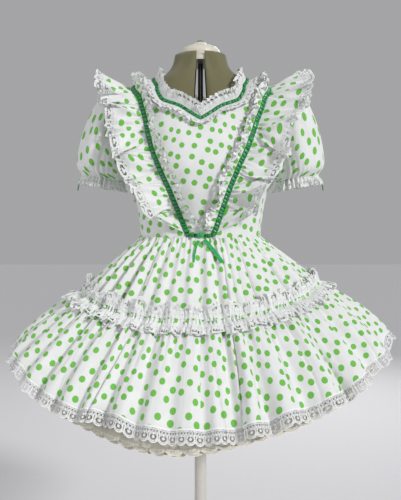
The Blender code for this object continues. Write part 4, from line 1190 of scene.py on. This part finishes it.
foldCentres = np.radians([a + half for half in (0, 180) for a in skirtFolds["azimuth"]])
foldDepths = np.array(skirtFolds["depth"] * 2)


def skirtBase(azimuth, tier):
    power = 2 / tableAt(skirtShape, "power", tier)
    front, back = tableAt(skirtShape, "front", tier), tableAt(skirtShape, "back", tier)
    deep = np.where(np.cos(azimuth) > 0, front, back)
    sag = tableAt(skirtShape, "sag", tier) * np.abs(np.cos(azimuth)) ** skirtFolds["sagPower"]
    drop = tableAt(skirtShape, "drop", tier) + sag
    drop = drop - tableAt(skirtShape, "lean", tier) * np.sin(azimuth)
    x = tableAt(skirtShape, "wide", tier) * signedPower(np.sin(azimuth), power)
    return np.stack((x, -deep * signedPower(np.cos(azimuth), power), -drop), -1)


def skirtOut(azimuth, tier):
    turn, step = 0.02, 0.05
    low, high = np.maximum(0.0, tier - step), np.minimum(3.0, tier + step)
    across = skirtBase(azimuth + turn, tier) - skirtBase(azimuth - turn, tier)
    up = skirtBase(azimuth, low) - skirtBase(azimuth, high)
    return unit(np.cross(across, up))


def creaseAt(azimuth):  # 0 on a crest, up to 1 in the deepest crease
    centres = np.append(foldCentres, foldCentres[0] + fullTurn)
    depths = np.append(foldDepths, foldDepths[0])
    turned = (azimuth - centres[0]) % fullTurn + centres[0]
    i = np.clip(np.searchsorted(centres, turned, side="right") - 1, 0, len(centres) - 2)
    share = (turned - centres[i]) / (centres[i + 1] - centres[i])
    near = np.where(share < 0.5, share, 1 - share) * 2
    depth = np.where(share < 0.5, depths[i], depths[i + 1])
    return depth * (0.5 + 0.5 * np.cos(math.pi * near)) ** skirtFolds["sharpness"]


def skirtPoint(azimuth, tier, out=0.0):
    azimuth, tier = np.broadcast_arrays(np.asarray(azimuth, float), np.asarray(tier, float))
    crease = creaseAt(azimuth)
    fold = np.interp(tier, (0, 1, 2), (skirtFolds["waist"], skirtFolds["tier"], skirtFolds["hem"]))
    puff = skirtFolds["puff"] * np.sin(math.pi * np.clip(tier - 1, 0, 1))
    offset = 0.35 * fold * (1 - crease) + puff - fold * crease + out
    points = skirtBase(azimuth, tier) + skirtOut(azimuth, tier) * offset[..., None]
    degrees = np.degrees(np.arctan2(np.sin(azimuth), np.cos(azimuth)))
    for middle, half, lift in skirtFolds["caught"]:  # the hem is caught up at some folds
        points[..., 2] += lift * bell(degrees - middle, half) * np.clip(tier - 1.4, 0, 0.6) / 0.6
    return points


def lowerRipple(azimuth, tier):  # gathers of the lower tier, which the hem lace follows
    turn = azimuth / fullTurn
    down = tier - 1
    short = skirt["lowerGather"] * np.exp(-down / 0.22) * ripple(turn, 96, 150, 61)
    broad = skirt["lowerFold"] * np.clip(down / 0.3, 0, 1) * ripple(turn + 0.009 * down, 12, 34, 62)
    fade = np.clip(0.35 + 1.6 * down, 0, 1) * (1 - 0.35 * np.clip(down - 0.7, 0, 1))
    fade = fade * (1 - 0.35 * np.clip(down, 0, 1))
    deep = skirt["lowerPleat"] * fade * pleats(turn + 0.006 * down, skirt["lowerCreases"], 64)
    wide = skirt["hemPleat"] * np.clip(1.3 * down - 0.2, 0, 1)
    deep = deep + wide * pleats(turn - 0.008 * down, skirt["hemCreases"], 68)
    fine = 0.22 * skirt["lowerPleat"] * np.clip(1.0 - 1.4 * down, 0, 1)
    deep = deep + fine * pleats(turn - 0.003 * down, 83, 67)
    lift = 0.0060 * np.clip(down - 0.6, 0, 1) * ripple(turn, 9, 20, 63)
    return short * np.clip(down / 0.05, 0.2, 1) + broad + deep + lift


def upperRipple(azimuth, tier):  # pleats and gathers of the upper tier
    turn = azimuth / fullTurn
    out = skirt["waistGather"] * np.exp(-tier * 0.17 / 0.035) * ripple(turn, 64, 104, 51)
    out = out + skirt["upperFold"] * np.clip(tier * 3, 0, 1) * ripple(turn, 22, 44, 52)
    grow = skirt["upperPleat"] * np.clip(tier * 1.8, 0.12, 1)
    return out + grow * pleats(turn + 0.004 * tier, skirt["upperCreases"], 53)


def makeSkirt():
    for name, levels, rows, waves, start, rests in (
        ("Upper", (1.0, 0.0), skirt["upperRows"], upperRipple, 0.0, ["bodice_front", "underskirt"]),
        ("Lower", (2.0, 1.002), skirt["lowerRows"], lowerRipple, 0.31, ["underskirt"]),
    ):
        angle, tier = ringGrid(skirt["columns"], np.linspace(*levels, rows))
        points = skirtPoint(angle, tier, waves(angle, tier) + skirt["halfCloth"])
        if name == "Upper":
            points[-1, :, 2] += skirt["tuck"]
        rise, around = arcColumns(points).mean(1), arcAlong(points[rows // 4], True)
        piece = sheetPiece(f"skirt{name}", points, around, rise + start, cottons["skirt"], True)
        place(piece, [f"skirt_{name.lower()}"])


makeSkirt()
print("skirt tiers made")

hemLace = {
    "width": 0.0245, "pitch": 0.0205, "repeats": 64, "columns": 20, "rows": 20,
    "scallop": 0.0046, "picot": 0.0004, "cut": (1.45, 0.026),
    "rings": ((0.01025, 0.0143, 0.0071, 0.0053, 0.0036, 0.0028, 0.0012),),
    "eyelets": ((0.0035, 0.0052, 0.0014), (0.01025, 0.0046, 0.0015), (0.0170, 0.0052, 0.0014),
                (0.0, 0.0105, 0.0013), (0.0, 0.0150, 0.0010), (0.0068, 0.0026, 0.0007),
                (0.0137, 0.0026, 0.0007), (0.0065, 0.0214, 0.0008), (0.0140, 0.0214, 0.0008)),
}
laces["hem"] = makeLace("hemLace", hemLace, ("thread", "openGap"))


def makeHemLace():
    ends = np.append(foldCentres, foldCentres[0] + fullTurn)
    columns = np.sort(np.concatenate((foldCentres, (ends[:-1] + ends[1:]) / 2)))
    total = len(columns)
    half = total // 2
    seam = 2 * int(np.argmin(np.abs(foldCentres))) + 1
    for name, start in (("Right", seam), ("Left", seam + half)):
        marks = np.arange(start, start + half + 1)
        run = columns[marks % total] + fullTurn * (marks // total)

        def surface(along, share):
            azimuth = np.interp(along * half, np.arange(half + 1), run)
            waves = lowerRipple(azimuth, np.full_like(azimuth, 2.0))
            return skirtPoint(azimuth, 1.99 + 1.01 * share, waves + skirt["halfCloth"])

        piece = lacePiece(f"hemLace{name}", surface, hemLace, laces["hem"])
        place(piece, [f"hem_lace_{name.lower()}"])


makeHemLace()
print("hem lace made")

tierFrill = {
    "half": 0.021, "stand": 0.011, "wave": 0.0045, "columns": 1500, "rows": 14,
    "gather": 0.0031, "folds": 84, "overlap": 0.0036, "middle": 0.0028, "dent": 0.0014,
    "cut": (2.90, 0.042),
}
tierLace = {
    "width": 0.0260, "pitch": 0.0125, "repeats": 232, "columns": 7, "rows": 12,
    "scallop": 0.0030, "overlap": 0.0148, "cut": (2.90, 0.026),
    "rings": ((0.0062, 0.0180, 0.0030, 0.0032, 0.0014, 0.0015, 0.0006),),
    "eyelets": ((0.0, 0.0100, 0.0013), (0.0, 0.0215, 0.0009), (0.0062, 0.0085, 0.0012)),
}
laces["tier"] = makeLace("tierLace", tierLace, ("thread", "brightGap"))


def frillPoint(azimuth, share, lift=0.0):  # share -1 at the strip's lower edge, 1 at the upper
    f = tierFrill
    azimuth, share = np.broadcast_arrays(np.asarray(azimuth, float), np.asarray(share, float))
    one = np.ones_like(azimuth)
    out = skirtOut(azimuth, one)
    seam = skirtPoint(azimuth, one, 0.0020)
    fall = skirtBase(azimuth, 1.05 * one) - skirtBase(azimuth, 0.95 * one)
    fall = unit(fall - out * (fall * out).sum(-1, keepdims=True))
    turn = azimuth / fullTurn
    far = np.abs(share)
    upper, lower = foldOver(turn, f["folds"], 71), foldOver(turn, f["folds"] + 9, 79)
    grow = np.clip(far, 0, 1.4)
    wave = np.where(share > 0, upper[0], lower[0]) * f["gather"] * grow
    slow = np.where(share > 0, ripple(turn, 14, 30, 73), ripple(turn, 14, 30, 74))
    pinch = f["middle"] * ripple(turn, 180, 260, 75) * bell(share, 0.4)
    dents = np.where(share > 0, crumple(turn, far, 120, 220, 81), crumple(turn, far, 120, 220, 85))
    wave = wave + f["wave"] * 0.7 * slow * far + pinch + f["dent"] * dents * np.clip(far, 0, 1)
    stand = f["stand"] * far**0.8 + lift
    ragged = np.where(share > 0, ripple(turn, 40, 90, 77), ripple(turn, 40, 90, 78))
    reach = f["half"] * share * (1 + 0.10 * slow * far + 0.10 * ragged * far)
    sideways = np.where(share > 0, upper[1], lower[1]) * f["overlap"] * grow
    along = unit(np.cross(out, fall))
    move = out * (stand + wave)[..., None] + along * sideways[..., None]
    return seam - fall * reach[..., None] + move


def makeTierFrill():
    f = tierFrill
    share = np.linspace(-1, 1, f["rows"])
    points = frillPoint(*ringGrid(f["columns"], share))
    around = arcAlong(points[f["rows"] // 2], True) * 1.5
    piece = sheetPiece("tierFrill", points, around, share * f["half"], cottons["frill"], True)
    place(piece, ["tier_frill"])
    for name, side in (("Upper", 1), ("Lower", -1)):
        def surface(along, reach):
            edge = (f["half"] - tierLace["overlap"] + reach * tierLace["width"]) / f["half"]
            lift = 0.0009 * np.clip(1.5 - edge, 0, 1)
            return frillPoint(along * fullTurn, side * edge, lift)

        piece = lacePiece(f"tierLace{name}", surface, tierLace, laces["tier"], True)
        place(piece, [f"tier_lace_{name.lower()}"])


makeTierFrill()
print("tier frill and its lace made")

underskirt = {
    "inset": 0.030, "dipAzimuth": -9.0, "dipHalf": 30.0, "dip": 0.55, "lace": 0.36,
    "columns": 900, "rows": 30, "cut": (2.30, 0.33), "pleat": 0.0030,
    "innerEdge": 0.0080, "edgeCut": (2.30, 0.0150), "edgeArea": 0.0200,
}
underskirtLace = {
    "width": 0.0150, "pitch": 0.0288, "repeats": 80, "columns": 16, "rows": 7,
    "scallop": 0.0085,
    "eyelets": ((0.0144, 0.0070, 0.0015), (0.0098, 0.0062, 0.0011), (0.0190, 0.0062, 0.0011)),
}


def underskirtDip(azimuth):
    apart = np.degrees(np.arctan2(np.sin(azimuth), np.cos(azimuth))) - underskirt["dipAzimuth"]
    apart = np.clip(np.abs(apart) / underskirt["dipHalf"], 0, 1)
    return underskirt["dip"] * 0.5 * (1 + np.cos(math.pi * apart))


def underskirtPoint(azimuth, tier):
    azimuth, tier = np.broadcast_arrays(np.asarray(azimuth, float), np.asarray(tier, float))
    reach = tier + underskirtDip(azimuth) * np.clip((tier - 1.2) / 1.3, 0, 1)
    inset = underskirt["inset"] * np.minimum(1.0, tier / 1.2) + 0.0039
    wave = underskirt["pleat"] * ripple(azimuth / fullTurn, 26, 58, 81) * np.minimum(1, tier / 2)
    base = skirtBase(azimuth, np.minimum(3.0, reach))
    over = np.maximum(0.0, reach - 3.0)
    three = np.full_like(azimuth, 3.0)
    fall = unit(skirtBase(azimuth, three) - skirtBase(azimuth, 0 * azimuth + 2.6))
    out = skirtOut(azimuth, np.minimum(2.9, reach))
    return base + fall * (over * 0.03)[..., None] - out * (inset + wave)[..., None]


def makeUnderskirt():
    u = underskirt
    points = underskirtPoint(*ringGrid(u["columns"], np.linspace(2.5, 0.02, u["rows"])))
    rise = arcColumns(points).mean(1)
    around = np.arange(u["columns"] + 1) / u["columns"] * u["cut"][0]
    piece = sheetPiece("underskirtNet", points, around, rise, ivoryNet, True)
    place(piece, ["underskirt"])
    ivory = makeLace("ivoryLace", underskirtLace, ("ivoryThread", "ivoryGap"))
    for name, nodes, inner in (("underskirtEdge", ["underskirt_lace"], 0.0),
                               ("underskirtEdgeInner", [], u["innerEdge"])):
        def surface(along, share):
            azimuth = along * fullTurn + inner * 2
            points = underskirtPoint(azimuth, 2.5 + 0.004 + inner * 8 + u["lace"] * share)
            return points - skirtOut(azimuth, np.full_like(azimuth, 2.0)) * inner

        piece = lacePiece(name, surface, underskirtLace, ivory, True)
        place(piece, nodes)


makeUnderskirt()
print("underskirt made")


# Tie at the point of the V

tie = {
    "knot": (0.0150, 0.0095, 0.0120),
    "bandHeight": 0.0065,
    "bandWidth": 0.0082,
    "bandReach": 0.030,
    "tailWidth": {"Left": 0.0052, "Right": 0.0092},
    "tails": {
        "Left": ((-0.003, 0.006), (-0.008, 0.022), (-0.011, 0.038), (-0.013, 0.054)),
        "Right": ((0.006, 0.005), (0.018, 0.020), (0.031, 0.037), (0.043, 0.056)),
    },
}


def tailLine(marks):
    marks = smoothRows(np.array(marks), np.linspace(0, 3, 61))
    tier = marks[:, 1] / (skirtShape["drop"][1] + skirtShape["sag"][1])
    azimuth = np.arcsin(marks[:, 0] / tableAt(skirtShape, "wide", tier))
    out = skirtOut(azimuth, tier)
    crest = 0.35 * np.interp(tier, (0, 1), (skirtFolds["waist"], skirtFolds["tier"]))
    points = skirtBase(azimuth, tier) + out * (crest + 0.0030)[:, None]
    return [points, out, unit(np.gradient(points, axis=0))]


def makeTie():
    knotX, knotY, knotZ = tie["knot"]
    azimuth, height = np.zeros(1), np.full(1, tie["bandHeight"])
    front = bodicePoint(azimuth, height, np.full(1, trimLift))[0]
    middle = np.array((0.0, front[1] - knotY * 0.40, tie["bandHeight"]))
    turn, rise = ringGrid(72, np.linspace(-1, 1, 33))
    lump = 1 + 0.07 * np.sin(3 * turn + 4 * rise) + 0.05 * np.sin(7 * turn - 5 * rise)
    swell = np.sqrt(np.maximum(0.0, 1 - np.abs(rise) ** 2.4)) * lump
    shape = (knotX / 2 * swell * np.sin(turn), -knotY / 2 * swell * np.cos(turn), knotZ / 2 * rise)
    around, up = np.arange(73) / 72 * 0.03, np.linspace(0, 0.012, 33)
    piece = sheetPiece("tieKnot", middle + np.stack(shape, -1), around, up, greenSatin, True)
    place(piece, ["tie_knot"])
    for name, side in (("Left", -1), ("Right", 1)):
        asides, heights = np.linspace(0.004, tie["bandReach"], 60), np.full(60, tie["bandHeight"])
        line = lineStations(np.stack((azimuthAside(asides, heights), heights), -1), side)
        low = name.lower()
        makeRibbon(f"tieBand{name}", [f"tie_band_{low}"], line, tie["bandWidth"], 91 + side)
        point, out, along = tailLine(tie["tails"][name])
        wide, aside = tie["tailWidth"][name], unit(np.cross(along, out))
        across, share = np.linspace(1, -1, 7), np.linspace(0, 1, len(point))
        rows = []
        for k in across:
            curl = 0.0010 * (k**2) * np.sin(5 * share + side) + 0.0006 * np.sin(11 * share)
            rows.append(point + aside * (k * wide / 2) + out * (curl + 0.0010)[:, None])
        length = arcAlong(point)[-1]
        piece = sheetPiece(f"tieTail{name}", np.array(rows), share * length, across * wide / 2,
                           greenSatin)
        place(piece, [f"tie_tail_{low}"])


makeTie()
print("tie made")


# Floor, light and camera

studio = {
    "floorReach": 14.0,
    "floorColour": (0.60, 0.60, 0.61),
    "skyColour": (0.98, 0.98, 1.0),
    "skyStrength": 0.38,
    "sun": ((2.0, -2.1, 2.4), 9.0, 2.15),
    "lamps": (
        ("fillLamp", (-2.6, -1.2, 1.7), 2.0, 20.0),
        ("backLamp", (0.8, 2.9, 2.2), 2.2, 50.0),
    ),
    "cameraPlace": (0.0, -1.55, 1.07),
    "lens": 46.51,
    "shiftY": -0.06,
}


def hangLamp(name, lamp, spot):  # aimed at the middle of the dress
    holder = addObject(name, lamp)
    holder.location = spot
    aim = np.array((0, 0, 1.0)) - np.array(spot)
    tilt = math.acos(-aim[2] / np.linalg.norm(aim))
    holder.rotation_euler = (tilt, 0, math.atan2(aim[1], aim[0]) - math.pi / 2)


def makeStudio():
    reach = studio["floorReach"]
    mesh = bpy.data.meshes.new("studioFloor")
    corners = [(-reach, -reach, 0), (reach, -reach, 0), (reach, reach, 0), (-reach, reach, 0)]
    mesh.from_pydata([(x, y, z - 0.0005) for x, y, z in corners], [], [(0, 1, 2, 3)])
    tone = studio["floorColour"]
    mesh.materials.append(makeHard("paleFloor", tone, tone, 0.8, 40.0, 0.0002))
    addObject("studioFloor", mesh)
    world = bpy.data.worlds.new("studioSky")
    world.use_nodes = True
    sky = world.node_tree.nodes["Background"]
    sky.inputs["Color"].default_value = (*studio["skyColour"], 1)
    sky.inputs["Strength"].default_value = studio["skyStrength"]
    bpy.context.scene.world = world
    spot, angle, strength = studio["sun"]
    sun = bpy.data.lights.new("softSun", "SUN")
    sun.angle, sun.energy = math.radians(angle), strength
    hangLamp("softSun", sun, spot)
    for name, spot, size, power in studio["lamps"]:
        lamp = bpy.data.lights.new(name, "AREA")
        lamp.shape, lamp.size, lamp.energy = "DISK", size, power
        hangLamp(name, lamp, spot)
    lens = bpy.data.cameras.new("photoCamera")
    lens.lens, lens.sensor_width, lens.shift_y = studio["lens"], 36.0, studio["shiftY"]
    lens.clip_end = 60
    camera = addObject("photoCamera", lens)
    camera.location = studio["cameraPlace"]
    camera.rotation_euler = (math.pi / 2, 0, 0)
    bpy.context.scene.camera = camera
    bpy.context.scene.view_settings.view_transform = "Standard"


makeStudio()
print("studio made")
